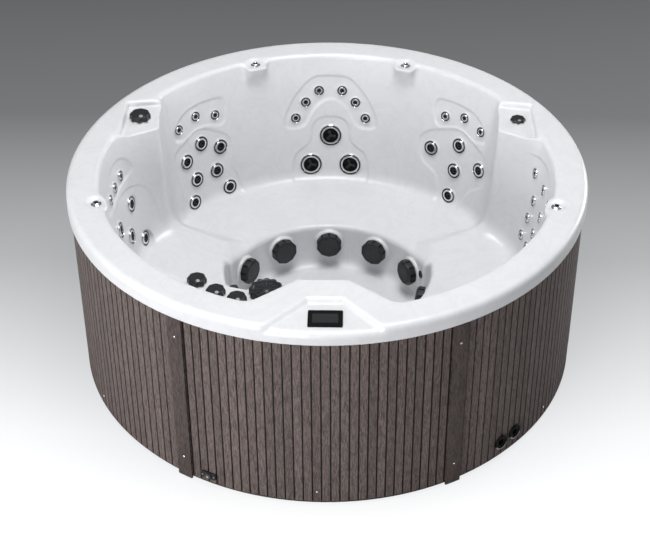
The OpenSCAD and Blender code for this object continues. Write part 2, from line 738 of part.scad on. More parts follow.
module filter_cap() {
    color([0.1, 0.1, 0.11]) at_filter() translate([0, 0, ledge_z + seat_gap]) difference() {
        union() {
            cylinder(h = 22, r = cap_d / 2 - 3, $fn = 72);
            for (i = [0:cap_lobes - 1]) rotate([0, 0, i * 360 / cap_lobes])
                translate([cap_d / 2 - lobe_r, 0, 0]) cylinder(h = 27, r = lobe_r, $fn = 32);
            translate([0, 0, -24]) cylinder(h = 25, r = filter_bore / 2 - slip_gap, $fn = 72);
        }
        translate([0, 0, -25]) difference() {
            cylinder(h = 44, r = filter_bore / 2 - 6, $fn = 72);
            cylinder(h = 44, r = cartridge_core_r - run_gap, $fn = 48);
        }
        for (i = [0:5]) rotate([0, 0, i * 60]) translate([38, 0, 0]) cylinder(h = 40, r = 7, $fn = 32);
    }
    color([0.1, 0.1, 0.11]) at_filter() translate([0, 0, ledge_z - 60])
        cylinder(h = 50, r = cartridge_core_r - run_gap, $fn = 48);
}

module filter_cartridge() {
    pleats = 30;
    pleat_r = filter_bore / 2 - 10;
    z0 = filter_floor_z + seat_gap;
    len = ledge_z - 30 - z0;
    color([0.9, 0.9, 0.88]) at_filter() translate([0, 0, z0]) difference() {
        union() {
            linear_extrude(len) polygon([for (i = [0:2 * pleats - 1])
                polar(i % 2 == 0 ? pleat_r : pleat_r - 8, i * 180 / pleats)]);
            cylinder(h = 12, r = pleat_r + 3, $fn = 72);
            translate([0, 0, len - 12]) cylinder(h = 12, r = pleat_r + 3, $fn = 72);
        }
        translate([0, 0, -1]) cylinder(h = len + 2, r = cartridge_core_r, $fn = 48);
    }
}

// Control panel in the console
module control_panel_bezel() {
    color([0.06, 0.06, 0.07]) translate([panel_x, -panel_y, panel_z + 0.05]) difference() {
        union() {
            translate([-panel_w / 2, -panel_l / 2, 0]) cube([panel_w, panel_l, 7]);
            translate([-panel_w / 2 + 13, -panel_l / 2 + 13, -24]) cube([panel_w - 26, panel_l - 26, 25]);
        }
        translate([-panel_w / 2 + 17, -panel_l / 2 + 22, 4]) cube([panel_w - 34, panel_l - 40, 10]);
        translate([-panel_w / 2 + 20, -panel_l / 2 + 25, -20]) cube([panel_w - 40, panel_l - 46, 40]);
    }
}

module control_panel_glass() {
    color([0.2, 0.21, 0.22])
        translate([panel_x - panel_w / 2 + 17.4, -panel_y - panel_l / 2 + 22.4, panel_z + 4.1])
            cube([panel_w - 34.8, panel_l - 40.8, 2.4]);
}

// Equipment under the seats and behind the console
pipe_r = 25;
// The ring main clears the back of every suction fitting
main_gap = 14;
fitting_r = max(well_wall_r(cover_z), sqrt(pow(side_wall_r(cover_z), 2) - pow(side_shift, 2)));
main_r = fitting_r + suction_len + pipe_r + main_gap;
// Each pump stands behind the ring main, with its inlet towards it
pump_x = 330;
main_y = sqrt(main_r * main_r - pump_x * pump_x);
inlet_gap = 81;
port_reach = 126;
pump_y = -main_y - inlet_gap - port_reach;
outlet_y = pump_y + 62;
pump_axis_z = 125;
motor_r = 70;
pump_r = 90;
port_r = 30;
// The manifolds rise behind the seat backs
riser_bearing = 125;
riser_r = mouth_r + 25;
elbow_r = pipe_r + 3;
run_z = side_z - shell_t - elbow_r - 4;
circ_y = pump_y - 10;
heater_z = 170;
heater_r = 36;
box_w = 280;
box_l = 120;
box_h = 330;
box_z = 60;

module massage_pumps() {
    color([0.25, 0.27, 0.3]) for (s = [-1, 1]) translate([s * pump_x, pump_y, 0]) {
        translate([-60, -150, pan_floor_z]) cube([120, 190, 12]);
        translate([-25, -140, pan_floor_z + 11]) cube([50, 160, 40]);
        translate([0, -160, pump_axis_z]) rotate([-90, 0, 0]) cylinder(h = 200, r = motor_r, $fn = 64);
        translate([0, 38, pump_axis_z]) rotate([-90, 0, 0]) cylinder(h = 50, r = pump_r, $fn = 64);
        translate([0, 66, pump_axis_z]) rotate([-90, 0, 0]) cylinder(h = port_reach - 66, r = port_r, $fn = 48);
        translate([0, 62, pump_axis_z + 55]) cylinder(h = 62, r = port_r, $fn = 48);
    }
}

module circulation_pump() {
    color([0.3, 0.32, 0.35]) translate([0, circ_y, pan_floor_z]) {
        translate([-40, -25, 0]) cube([80, 50, 20]);
        translate([-85, 0, 50]) rotate([0, 90, 0]) cylinder(h = 130, r = 34, $fn = 64);
        translate([44, 0, 50]) rotate([0, 90, 0]) cylinder(h = 30, r = 44, $fn = 64);
    }
}

// Heater tube on two legs, over the circulation pump, with its terminal box on top
module heater_unit() {
    leg_x = 138;
    leg_w = 24;
    tube_half = 170;
    color([0.7, 0.71, 0.72]) translate([0, circ_y, 0]) {
        for (x = [-leg_x, leg_x]) translate([x - leg_w / 2, -30, pan_floor_z])
            cube([leg_w, 60, heater_z - heater_r + 6 - pan_floor_z]);
        translate([-tube_half, 0, heater_z]) rotate([0, 90, 0])
            cylinder(h = 2 * tube_half, r = heater_r, $fn = 64);
        translate([-60, -28, heater_z + 20]) cube([120, 56, 60]);
    }
}

module control_box() {
    foot_w = 20;
    color([0.3, 0.31, 0.33]) translate([0, -mouth_r + 50, 0]) {
        for (x = [-box_w / 2 + foot_w, box_w / 2 - 2 * foot_w]) translate([x, -45, pan_floor_z])
            cube([foot_w, 90, box_z]);
        translate([-box_w / 2, -box_l / 2, box_z]) cube([box_w, box_l, box_h]);
    }
}

// Ring main behind the suction fittings, and a leg down to each pump
module suction_pipes() {
    leg_r = pipe_r - 4;
    color([0.88, 0.88, 0.86]) {
        translate([0, 0, cover_z]) rotate_extrude($fn = 120)
            translate([main_r, 0]) circle(r = pipe_r, $fn = 40);
        for (s = [-1, 1]) translate([s * pump_x, -main_y, pump_axis_z]) {
            cylinder(h = cover_z - pump_axis_z, r = leg_r, $fn = 40);
            sphere(r = pipe_r, $fn = 40);
            rotate([90, 0, 0]) cylinder(h = inlet_gap - seat_gap, r = pipe_r, $fn = 40);
        }
    }
}

// Pipe from each pump to a manifold that stands behind the seat back
module pressure_pipes() {
    z0 = pump_axis_z + 117 + seat_gap;
    manifold_h = 300;
    stub_len = 50;
    stub_r = 10;
    for (s = [-1, 1]) {
        top = [s * pump_x, outlet_y];
        foot = polar(riser_r, s * riser_bearing);
        run = foot - top;
        color([0.88, 0.88, 0.86]) {
            translate([top[0], top[1], z0]) cylinder(h = run_z - z0, r = pipe_r, $fn = 40);
            translate([top[0], top[1], run_z]) {
                sphere(r = elbow_r, $fn = 48);
                rotate([0, 0, atan2(run[1], run[0])]) rotate([0, 90, 0])
                    cylinder(h = norm(run), r = pipe_r, $fn = 40);
            }
            translate([foot[0], foot[1], run_z]) {
                sphere(r = elbow_r, $fn = 48);
                cylinder(h = manifold_h, r = pipe_r, $fn = 40);
                for (z = [120:40:280]) translate([0, 0, z]) rotate([-90, 0, 0])
                    cylinder(h = stub_len, r = stub_r, $fn = 32);
            }
        }
    }
}

// Drain and cable glands in the skirt
drain_bearing = -154.7;
drain_z = 58;
drain_r = 13;
gland_places = [[137.9, 90], [133.5, 96]];
gland_r = 17;
gland_lip = 9;

module drain_valve() {
    color([0.1, 0.1, 0.1]) at(drain_bearing, skirt_r, drain_z) rotate([-90, 0, 0]) difference() {
        union() {
            translate([-32, -16, 0.3]) cube([64, 32, 8]);
            translate([0, 0, -90]) cylinder(h = 92, r = drain_r, $fn = 40);
        }
        translate([0, 0, -80]) cylinder(h = 120, r = drain_r - 4, $fn = 40);
    }
}

module drain_cap() {
    color([0.85, 0.85, 0.83]) at(drain_bearing, skirt_r, drain_z) rotate([-90, 0, 0]) {
        translate([0, 0, 8.6]) cylinder(h = 7, r = 14, $fn = 8);
        translate([0, 0, -12]) cylinder(h = 21, r = drain_r - 4 - run_gap, $fn = 40);
    }
}

module cable_glands() {
    color([0.08, 0.08, 0.08]) for (p = gland_places) at(p[0], skirt_r, p[1]) rotate([-90, 0, 0]) difference() {
        union() {
            translate([0, 0, 0.3]) cylinder(h = 9, r = gland_r + gland_lip, $fn = 48);
            translate([0, 0, -30]) cylinder(h = 32, r = gland_r, $fn = 48);
        }
        translate([0, 0, -40]) cylinder(h = 80, r = gland_r - 5, $fn = 48);
    }
}

acrylic_shell();
base_pan();
floor_support();
lower_frame_ring();
frame_posts();
upper_frame_ring();
skirt_panels();
joint_strips();
panel_screws();
small_jet_bodies();
small_jet_rings();
small_jet_nozzles();
medium_jet_bodies();
for (i = [1:16]) medium_jet_face(i);
large_jet_bodies();
for (i = [1:3]) large_jet_bezel(i);
for (i = [1:3]) large_jet_rotor(i);
suction_bodies();
suction_covers();
heater_return();
fountain_nozzles();
diverter_knob();
air_knob();
for (i = [1:3]) valve_knob(i);
valve_bodies();
filter_cap();
filter_cartridge();
control_panel_bezel();
control_panel_glass();
massage_pumps();
circulation_pump();
heater_unit();
control_box();
suction_pipes();
pressure_pipes();
drain_valve();
drain_cap();
cable_glands();
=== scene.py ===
"""Looks of a round free-standing hot tub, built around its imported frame.

Lengths are in millimetres until a mesh is made. The console faces -Y, and a bearing is an angle seen from
above, 0 at the far seat (+Y) and growing towards +X.
"""
import math

import bpy
import numpy as np
from mathutils import Matrix, Vector


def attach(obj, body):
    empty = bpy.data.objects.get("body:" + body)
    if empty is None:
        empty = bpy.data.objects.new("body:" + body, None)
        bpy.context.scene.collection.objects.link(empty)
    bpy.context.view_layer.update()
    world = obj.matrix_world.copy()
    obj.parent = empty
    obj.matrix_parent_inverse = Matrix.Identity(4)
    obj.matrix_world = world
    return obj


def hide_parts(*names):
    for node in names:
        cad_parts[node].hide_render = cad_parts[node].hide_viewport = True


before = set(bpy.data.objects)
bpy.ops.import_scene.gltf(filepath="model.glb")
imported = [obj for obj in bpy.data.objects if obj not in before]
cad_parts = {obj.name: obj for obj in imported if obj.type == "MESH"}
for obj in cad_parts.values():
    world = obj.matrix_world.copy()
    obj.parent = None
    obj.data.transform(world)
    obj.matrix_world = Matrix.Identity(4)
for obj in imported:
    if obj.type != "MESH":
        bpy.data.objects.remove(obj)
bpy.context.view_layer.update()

MM = 0.001

# Rim, wall and floor levels of the moulded shell
RIM_R, RIM_Z = 1065.0, 885.0
MOUTH_R, WALL_TOP_Z = 930.0, 869.0
LIP_Z = 815.0
BENCH_Z, SIDE_Z, FLOOR_Z = 281.0, 318.0, 63.0
BACK_R = 828.0
WALL_SLOPE = (MOUTH_R - BACK_R) / (WALL_TOP_Z - BENCH_Z)
WALL_TILT = math.atan(WALL_SLOPE)
WELL_R, SIDE_R, SIDE_SHIFT, WELL_DRAFT = 440.0, 450.0, 90.0, 10.0
WELL_LEAN = math.atan(WELL_DRAFT / (BENCH_Z - FLOOR_Z))
SHELF_Z, TAB_Z, LEDGE_Z, FIELD_Z = 858.0, 872.0, 813.0, 868.0
SKIRT_R, STRIP_T, JOINT_BEARING = 1053.0, 9.0, 31.2

# Jets as bearing and height on the wall
FOOT_ROW_Z, SIDE_ROW_Z = BENCH_Z + 36, SIDE_Z + 36
FAR_NECK = [(s * a, z) for s in (-1, 1) for a, z in ((3.4, 714), (7.4, 660), (10.6, 586))]
SHOULDER = [(s * a, z) for s in (-1, 1) for a, z in ((35.8, 684), (42.3, 712), (48.9, 687))]
LEFT_NECK_JETS = [(-78.7, 714), (-84.3, 711), (-90.2, 713)]
RIGHT_ROWS = [(77.2, 725), (85.9, 731), (94.6, 746), (81, 626), (90.1, 638), (80.3, 532), (88, 532), (79.3, 434),
              (85.4, 436)]
SMALL_JETS = FAR_NECK + SHOULDER + LEFT_NECK_JETS + RIGHT_ROWS
MEDIUM_JETS = [(-41.9, 575), (-35.5, 525), (-48.2, 523), (-37.9, 419), (-45.6, 418), (-34.2, FOOT_ROW_Z),
               (-48, FOOT_ROW_Z), (32.5, 511), (42, 574), (41.7, 447), (51, 510), (41.1, FOOT_ROW_Z),
               (-77.1, 556), (-89.7, 554), (-82.6, 446), (-74.6, SIDE_ROW_Z)]
LARGE_JETS = [(0, 493), (-6.3, 350), (6.3, 350)]
SMALL_FLANGE_R, MEDIUM_FLANGE_R, LARGE_FLANGE_R = 23.4, 36.5, 53.0

# Other fittings, as bearing and height, or bearing and radius for the fountain tabs
COVER_BEARINGS, COVER_Z = [-90, -60, -30, 0, 30, 60, 90], 190.0
RETURN_BEARING, RETURN_Z = 70, 220
TABS = [(-106, 952), (-21.7, 922), (21.7, 922), (106, 952)]
DRAIN_BEARING, DRAIN_Z = -154.7, 58
CABLE_HOLES = [(137.9, 90), (133.5, 96)]
STRIP_SCREW_Z, PANEL_SCREW_Z = (112, 724), 68
PANEL_PLACE, PANEL_W, PANEL_L = (12, -976), 128.0, 92.0


def polar(r, bearing):
    t = math.radians(bearing)
    return r * math.sin(t), r * math.cos(t)


def along_bearing(x, y, bearing):
    """Distance outwards along a bearing, and across it."""
    s, c = math.sin(math.radians(bearing)), math.cos(math.radians(bearing))
    return x * s + y * c, x * c - y * s


def slide(x=0, y=0, z=0):
    return Matrix.Translation((x, y, z))


def spin(degrees, axis="Z"):
    return Matrix.Rotation(math.radians(degrees), 4, axis)


def wall_r(z):
    return BACK_R + (z - BENCH_Z) * WALL_SLOPE


# Controls: place and height of the seat, then diameter and height of the knob
SHELF_KNOB_R = MOUTH_R - 18
KNOBS = {
    "diverter_knob": (*polar(SHELF_KNOB_R, -63.4), SHELF_Z, 92, 31),
    "air_knob": (*polar(SHELF_KNOB_R, 63.4), SHELF_Z, 66, 16),
    "valve_knob_1": (*polar(MOUTH_R - 87, -145.4), LEDGE_Z, 76, 28),
    "valve_knob_2": (*polar(MOUTH_R - 67, -152.2), LEDGE_Z, 76, 28),
    "valve_knob_3": (*polar(MOUTH_R - 63, -158.3), LEDGE_Z, 76, 28),
}
FILTER = polar(MOUTH_R - 145, -164.2)


# Shell: the space inside the tub is a signed distance, negative in the air, and its zero level is the skin

def smooth_min(a, b, k):
    h = np.maximum(k - np.abs(a - b), 0.0)
    return np.minimum(a, b) - h * h / (4.0 * k)


def smooth_max(a, b, k):
    return -smooth_min(-a, -b, k)


def ease(t):
    t = np.clip(t, 0.0, 1.0)
    return t * t * (3.0 - 2.0 * t)


def outline_distance(x, y, outline):
    """Signed distance to a closed outline, negative inside."""
    pts = np.asarray(outline, float)
    d = np.full(x.shape, np.inf)
    inside = np.zeros(x.shape, bool)
    for (ax, ay), (bx, by) in zip(pts, np.roll(pts, -1, 0)):
        ex, ey = bx - ax, by - ay
        t = np.clip(((x - ax) * ex + (y - ay) * ey) / (ex * ex + ey * ey), 0, 1)
        d = np.minimum(d, (x - ax - t * ex) ** 2 + (y - ay - t * ey) ** 2)
        if ay != by:
            inside ^= ((ay > y) != (by > y)) & (x < ex * (y - ay) / ey + ax)
    return np.where(inside, -1.0, 1.0) * np.sqrt(d)


def both_sides(half):
    return half + [(-a, z) for a, z in reversed(half) if a > 0]


def mirrored(outline):
    return [(-a, z) for a, z in outline]


# Shallow recesses of the seat backs, as bearing and height
FAR_COLLAR = both_sides([(0, 677), (3, 658), (5.6, 612), (8, 532), (14.2, 536), (14, 590), (11.7, 664), (8.6, 730),
                         (5.6, 772), (3.8, 782), (0, 782)])
FAR_LUMBAR = both_sides([(0, 584), (2, 584), (4.4, 571), (6, 528), (5.7, 472), (8.4, 432), (10.9, 412), (12.2, 354),
                         (12.4, 230), (0, 230)])
SIDE_COLLAR = [(32, 690), (32, 730), (33, 758), (38, 762), (43.5, 758), (47, 738), (51, 690), (51.4, 640),
               (46.8, 622), (42.5, 652), (38.5, 650), (34.5, 622), (32.6, 640)]
LEFT_LUMBAR = [(-54.5, 540), (-52, 590), (-48, 608), (-43, 647), (-39.8, 638), (-33.7, 584), (-31.7, 550),
               (-32.1, 492), (-33.3, 423), (-30.4, 360), (-30, 230), (-52, 230), (-52, 420)]
RIGHT_LUMBAR = [(27.8, 530), (29.5, 576), (32.7, 603), (40.7, 647), (43, 641), (47.8, 607), (53, 579), (55.5, 538),
                (55, 450), (47, 380), (46, 230), (37, 230), (36.4, 379), (33.1, 413), (29.6, 437)]
LEFT_COLLAR = [(-73, 690), (-74.5, 770), (-80, 792), (-92, 788), (-97, 760), (-97, 690), (-90, 668), (-80, 672)]
LEFT_BACK = [(-70, 590), (-75, 632), (-85, 645), (-94, 632), (-98, 560), (-95, 430), (-88, 345), (-86, 240),
             (-69, 240), (-68, 420)]
RIGHT_BACK = [(68.5, 640), (68, 762), (72, 790), (81.7, 812), (92, 815), (101, 790), (102, 700), (98, 500), (91, 390),
              (88, 240), (74, 240), (71, 500)]
RECESSES = [FAR_COLLAR, FAR_LUMBAR, SIDE_COLLAR, mirrored(SIDE_COLLAR), LEFT_LUMBAR, RIGHT_LUMBAR, LEFT_COLLAR,
            LEFT_BACK, RIGHT_BACK]
RECESS_DEPTH, RECESS_EDGE, RELIEF_REACH = 5.5, 17.0, 130.0
# Length along the wall for a degree of bearing, at the middle of the seat backs
ARC_MM = math.radians(1) * 880


def rounded(outline, rounds=3):
    """Outline in millimetres along the wall, with its corners cut until they are curves."""
    pts = np.array([(a * ARC_MM, z) for a, z in outline])
    for _ in range(rounds):
        after = np.roll(pts, -1, 0)
        pts = np.stack([0.75 * pts + 0.25 * after, 0.25 * pts + 0.75 * after], 1).reshape(-1, 2)
    return pts


def relief_table(step=3.0):
    """Depth of the recesses on a grid along the wall and up it, so that each point needs only a look-up."""
    last_bearing, low, high_end = 112, 200, 830
    bearing = np.arange(-last_bearing, last_bearing, step / ARC_MM)
    z = np.arange(low, high_end, step)
    arc, high = np.meshgrid(bearing * ARC_MM, z, indexing="ij")
    deep = np.zeros(arc.shape)
    for outline in RECESSES:
        pts = rounded(outline)
        reach = 20 + RECESS_EDGE
        near = ((arc > pts[:, 0].min() - reach) & (arc < pts[:, 0].max() + reach)
                & (high > pts[:, 1].min() - reach) & (high < pts[:, 1].max() + reach))
        away = outline_distance(arc[near], high[near], pts)
        deep[near] = np.maximum(deep[near], ease(0.5 - away / RECESS_EDGE))
    return bearing, z, deep * RECESS_DEPTH


RELIEF = relief_table()

# Plan outlines; the side seat's is for positive x and holds for both sides
SIDE_SEAT = [(-10, 0), (400, 0), (427, 288), (650, 384), (1000, 560), (1000, -1200), (-10, -1200)]
SEAT_STEP_W, BENCH_DIP = 105.0, 7.0
ARM_RISE, ARM_BEARING, ARM_START, ARM_END, ARM_FADE = 40.0, 62.0, 480.0, 860.0, 260.0
SHELF = [polar(1010, 60.3), polar(903, 54.5), polar(804, 65), polar(918, 74)]
PILASTER_CORE = [polar(1010, 62.0), polar(915, 57.2), polar(832, 65), polar(922, 72)]
PILASTER_TAPER, PILASTER_ROUND = 0.042, 26.0
CONSOLE = [(-98, -752), (98, -752), (292, -905), (292, -1000), (-292, -1000), (-292, -905)]
FIELD = [(-52, -886), (70, -886), (232, -1067), (322, -1200), (-316, -1200), (-222, -1067)]
LEDGE_EDGE = [(62, -132), (62, -136), (96, -142), (144, -145.7), (138, -153.5), (150, -160)]
LEDGE = ([polar(MOUTH_R - inset, b) for inset, b in LEDGE_EDGE]
         + [(-150, -800), (-150, -960), (-700, -960), polar(960, -132)])
FILTER_BOSS_R, FILTER_BORE_R, FILTER_BORE_END = 74.0, 60.0, 430.0
TAB_REACH, TAB_HALF_W, TAB_CORNER, TAB_CROWN, TAB_DISH_R = 44.0, 46.0, 26.0, 2.0, 30.0
TAB_UNDER_Z, TAB_UNDER_OUT, TAB_UNDER_UP = 860.0, 0.83, 0.56
WELL_FAR_FROM, WELL_NEAR_TO = 112.0, 122.0
LIP_INNER_R = 1045.0

# Fillets where the forms meet, and the roundings of their own edges
SEAT_FILLET, PILASTER_FILLET, CONSOLE_FILLET, LEDGE_FILLET, TAB_FILLET = 52.0, 76.0, 36.0, 26.0, 30.0
WELL_FILLET, WELL_FOOT, WELL_STEP, WELL_JOIN = 26.0, 44.0, 10.0, 16.0
PILASTER_EDGE, LEDGE_ROUND, FILTER_BLEND, TAB_UNDER_EDGE, TAB_EDGE = 9.0, 16.0, 20.0, 14.0, 10.0
SHELF_FOOT, SHELF_EDGE, DISH_FOOT, DISH_EDGE, BORE_FOOT, BORE_EDGE = 12.0, 10.0, 20.0, 14.0, 10.0, 6.0
FIELD_FOOT, FIELD_EDGE, RIM_INNER_ROUND, RIM_OUTER_ROUND, LIP_ROUND = 5.0, 7.0, 20.0, 30.0, 5.0


def seat_height(x, y):
    """Height of the benches, with a soft step up to the side seats and the arms that rise to the pilasters."""
    ax = np.abs(x)
    step = ease(0.5 - outline_distance(ax, y, SIDE_SEAT) / SEAT_STEP_W)
    along, across = along_bearing(ax, y, ARM_BEARING)
    rise = ease((along - ARM_START) / (ARM_END - ARM_START)) * ease(1 - across / ARM_FADE)
    return BENCH_Z - BENCH_DIP + (SIDE_Z - BENCH_Z + ARM_RISE * rise) * step


def recess_depth(bearing, z):
    """Depth of the moulded recesses behind the plain cone of the wall."""
    bearings, heights, deep = RELIEF
    i = np.clip((bearing - bearings[0]) / (bearings[1] - bearings[0]), 0, len(bearings) - 1.001)
    j = np.clip((z - heights[0]) / (heights[1] - heights[0]), 0, len(heights) - 1.001)
    a, b = i.astype(int), j.astype(int)
    i, j = i - a, j - b
    return ((deep[a, b] * (1 - i) + deep[a + 1, b] * i) * (1 - j)
            + (deep[a, b + 1] * (1 - i) + deep[a + 1, b + 1] * i) * j)


def wall_frame(bearing, z):
    """Placement on the seat backs, in millimetres, with +Z into the tub."""
    return spin(-bearing) @ slide(0, wall_r(z), z) @ Matrix.Rotation(math.pi / 2 - WALL_TILT, 4, "X")


def well_frame(bearing):
    """Placement on the footwell wall, in millimetres, with +Z into the footwell."""
    last_far_bearing = 75
    on_side = abs(bearing) > last_far_bearing
    top, r = (SIDE_Z, SIDE_R) if on_side else (BENCH_Z, WELL_R)
    reach = r - WELL_DRAFT * (top - COVER_Z) / (top - FLOOR_Z)
    turn = math.copysign(math.degrees(math.asin(SIDE_SHIFT / reach)), bearing) if on_side else 0
    return (slide(0, SIDE_SHIFT if on_side else 0) @ spin(-bearing - turn) @ slide(0, reach, COVER_Z)
            @ Matrix.Rotation(math.pi / 2 - WELL_LEAN, 4, "X"))


# Holes that the jets and suction fittings sit in: placement, radius, radius of the flange on the wall
SMALL_BORE_R, MEDIUM_BORE_R, LARGE_BORE_R, SUCTION_BORE_R, HOLE_DEPTH = 16, 27, 41, 32, 18.0
HOLES = ([(wall_frame(*p), SMALL_BORE_R, SMALL_FLANGE_R) for p in SMALL_JETS]
         + [(wall_frame(*p), MEDIUM_BORE_R, MEDIUM_FLANGE_R) for p in MEDIUM_JETS]
         + [(wall_frame(*p), LARGE_BORE_R, LARGE_FLANGE_R) for p in LARGE_JETS]
         + [(well_frame(b), SUCTION_BORE_R, 0) for b in COVER_BEARINGS])
# Moulded pads around the jets, flat faces under their flanges, and collars behind the suction covers
PAD_BEYOND, PAD_TOP, PAD_ROUND = 2.5, -2.6, 4.0
FLAT_BEYOND, FLAT_TOP, FLAT_ROUND = 1.5, 0.3, 3.0
COLLAR_R, COLLAR_H, COLLAR_ROUND, COLLAR_FILLET = 61.0, 14.0, 8.0, 12.0
HOLE_ROUND = 2.0
COVER_H = 36.0


def local_axes(placement, x, y, z):
    """Coordinates in a placement, for points given in the tub."""
    inv = np.array(placement.inverted())
    return [inv[i, 0] * x + inv[i, 1] * y + inv[i, 2] * z + inv[i, 3] for i in range(3)]


def air(x, y, z):
    """Signed distance to the shell's wet and outer skin, negative in the air.

    Each form is worked out only in a window around it. The windows save time and don't shape it.
    """
    r = np.hypot(x, y)
    ax = np.abs(x)
    wall = wall_r(z)
    relief = np.zeros(x.shape)
    near = np.abs(r - wall) < RELIEF_REACH
    relief[near] = recess_depth(np.degrees(np.arctan2(x[near], y[near])), z[near])
    d = smooth_max((r - wall - relief) * math.cos(WALL_TILT), seat_height(x, y) - z, SEAT_FILLET)

    near = (ax > 600) & (y > 100)
    side = outline_distance(ax[near], y[near], PILASTER_CORE) - PILASTER_ROUND - (SHELF_Z - z[near]) * PILASTER_TAPER
    d[near] = smooth_max(d[near], -smooth_max(side, z[near] - SHELF_Z, PILASTER_EDGE), PILASTER_FILLET)

    near = (y < -650) & (ax < 420)
    d[near] = smooth_max(d[near], -outline_distance(x[near], y[near], CONSOLE), CONSOLE_FILLET)

    near = (y < -480) & (x < 0) & (x > -820)
    side = outline_distance(x[near], y[near], LEDGE)
    boss = np.hypot(x[near] - FILTER[0], y[near] - FILTER[1]) - FILTER_BOSS_R
    ledge = smooth_max(smooth_min(side, boss, FILTER_BLEND), z[near] - LEDGE_Z, LEDGE_ROUND)
    d[near] = smooth_max(d[near], -ledge, LEDGE_FILLET)

    for bearing, nozzle_r in TABS:
        out, across = along_bearing(x, y, bearing)
        near = (out > 780) & (np.abs(across) < 140)
        o, h = out[near], z[near]
        tip = nozzle_r - TAB_REACH
        under = (tip - o) * TAB_UNDER_OUT + (TAB_UNDER_Z - h) * TAB_UNDER_UP
        corbel = smooth_max(smooth_max(tip - o, under, TAB_UNDER_EDGE), np.abs(across[near]) - TAB_HALF_W, TAB_CORNER)
        corbel = smooth_max(corbel, h - TAB_Z - TAB_CROWN, TAB_EDGE)
        d[near] = smooth_max(d[near], -corbel, TAB_FILLET)

    near = r < 560
    xn, yn, zn = x[near], y[near], z[near]
    drop = np.clip((BENCH_Z - zn) / (BENCH_Z - FLOOR_Z), 0, 1) * WELL_DRAFT
    far = smooth_max(r[near] - WELL_R + drop, WELL_FAR_FROM - yn, WELL_STEP)
    close = smooth_max(np.hypot(xn, yn - SIDE_SHIFT) - SIDE_R + drop, yn - WELL_NEAR_TO, WELL_STEP)
    well = smooth_max(smooth_min(far, close, WELL_JOIN), FLOOR_Z - zn, WELL_FOOT)
    d[near] = smooth_min(d[near], well, WELL_FILLET)

    near = (ax > 600) & (y > 100) & (z > 800)
    side = outline_distance(ax[near], y[near], SHELF)
    d[near] = smooth_min(d[near], smooth_max(side, SHELF_Z - z[near], SHELF_FOOT), SHELF_EDGE)

    for bearing, nozzle_r in TABS:
        out, across = along_bearing(x, y, bearing)
        near = (out > 780) & (np.abs(across) < 140) & (z > 820)
        dish = np.hypot(across[near], out[near] - nozzle_r) - TAB_DISH_R
        d[near] = smooth_min(d[near], smooth_max(dish, TAB_Z - z[near], DISH_FOOT), DISH_EDGE)

    near = (y < -600) & (x < 0) & (x > -420)
    bore = np.hypot(x[near] - FILTER[0], y[near] - FILTER[1]) - FILTER_BORE_R
    d[near] = smooth_min(d[near], smooth_max(bore, FILTER_BORE_END - z[near], BORE_FOOT), BORE_EDGE)

    top = RIM_Z - z
    near = (y < -780) & (ax < 400)
    side = outline_distance(x[near], y[near], FIELD)
    sunk = smooth_max((side - (z[near] - FIELD_Z)) * 0.707, FIELD_Z - z[near], FIELD_FOOT)
    top[near] = smooth_min(top[near], sunk, FIELD_EDGE)
    d = smooth_min(d, top, RIM_INNER_ROUND)
    d = smooth_min(d, RIM_R - r, RIM_OUTER_ROUND)
    near = (r > 1040) & (z < 830)
    d[near] = smooth_min(d[near], np.maximum(z[near] - LIP_Z, LIP_INNER_R - r[near]), LIP_ROUND)

    window = 110
    for placement, bore_r, flange_r in HOLES:
        cx, cy, cz = placement.translation
        near = (np.abs(x - cx) < window) & (np.abs(y - cy) < window) & (np.abs(z - cz) < window)
        if near.any():
            u, v, w = local_axes(placement, x[near], y[near], z[near])
            out = np.hypot(u, v)
            if flange_r:
                pad = smooth_max(out - flange_r - PAD_BEYOND, w - PAD_TOP, PAD_ROUND)
                d[near] = smooth_max(d[near], -pad, PAD_ROUND)
                flat = smooth_max(out - flange_r - FLAT_BEYOND, FLAT_TOP - w, FLAT_ROUND)
                d[near] = smooth_min(d[near], flat, FLAT_ROUND)
            else:
                collar = smooth_max(out - COLLAR_R, w - COLLAR_H, COLLAR_ROUND)
                d[near] = smooth_max(d[near], -collar, COLLAR_FILLET)
            d[near] = smooth_min(d[near], smooth_max(out - bore_r, -HOLE_DEPTH - w, HOLE_ROUND), HOLE_ROUND)
    return d


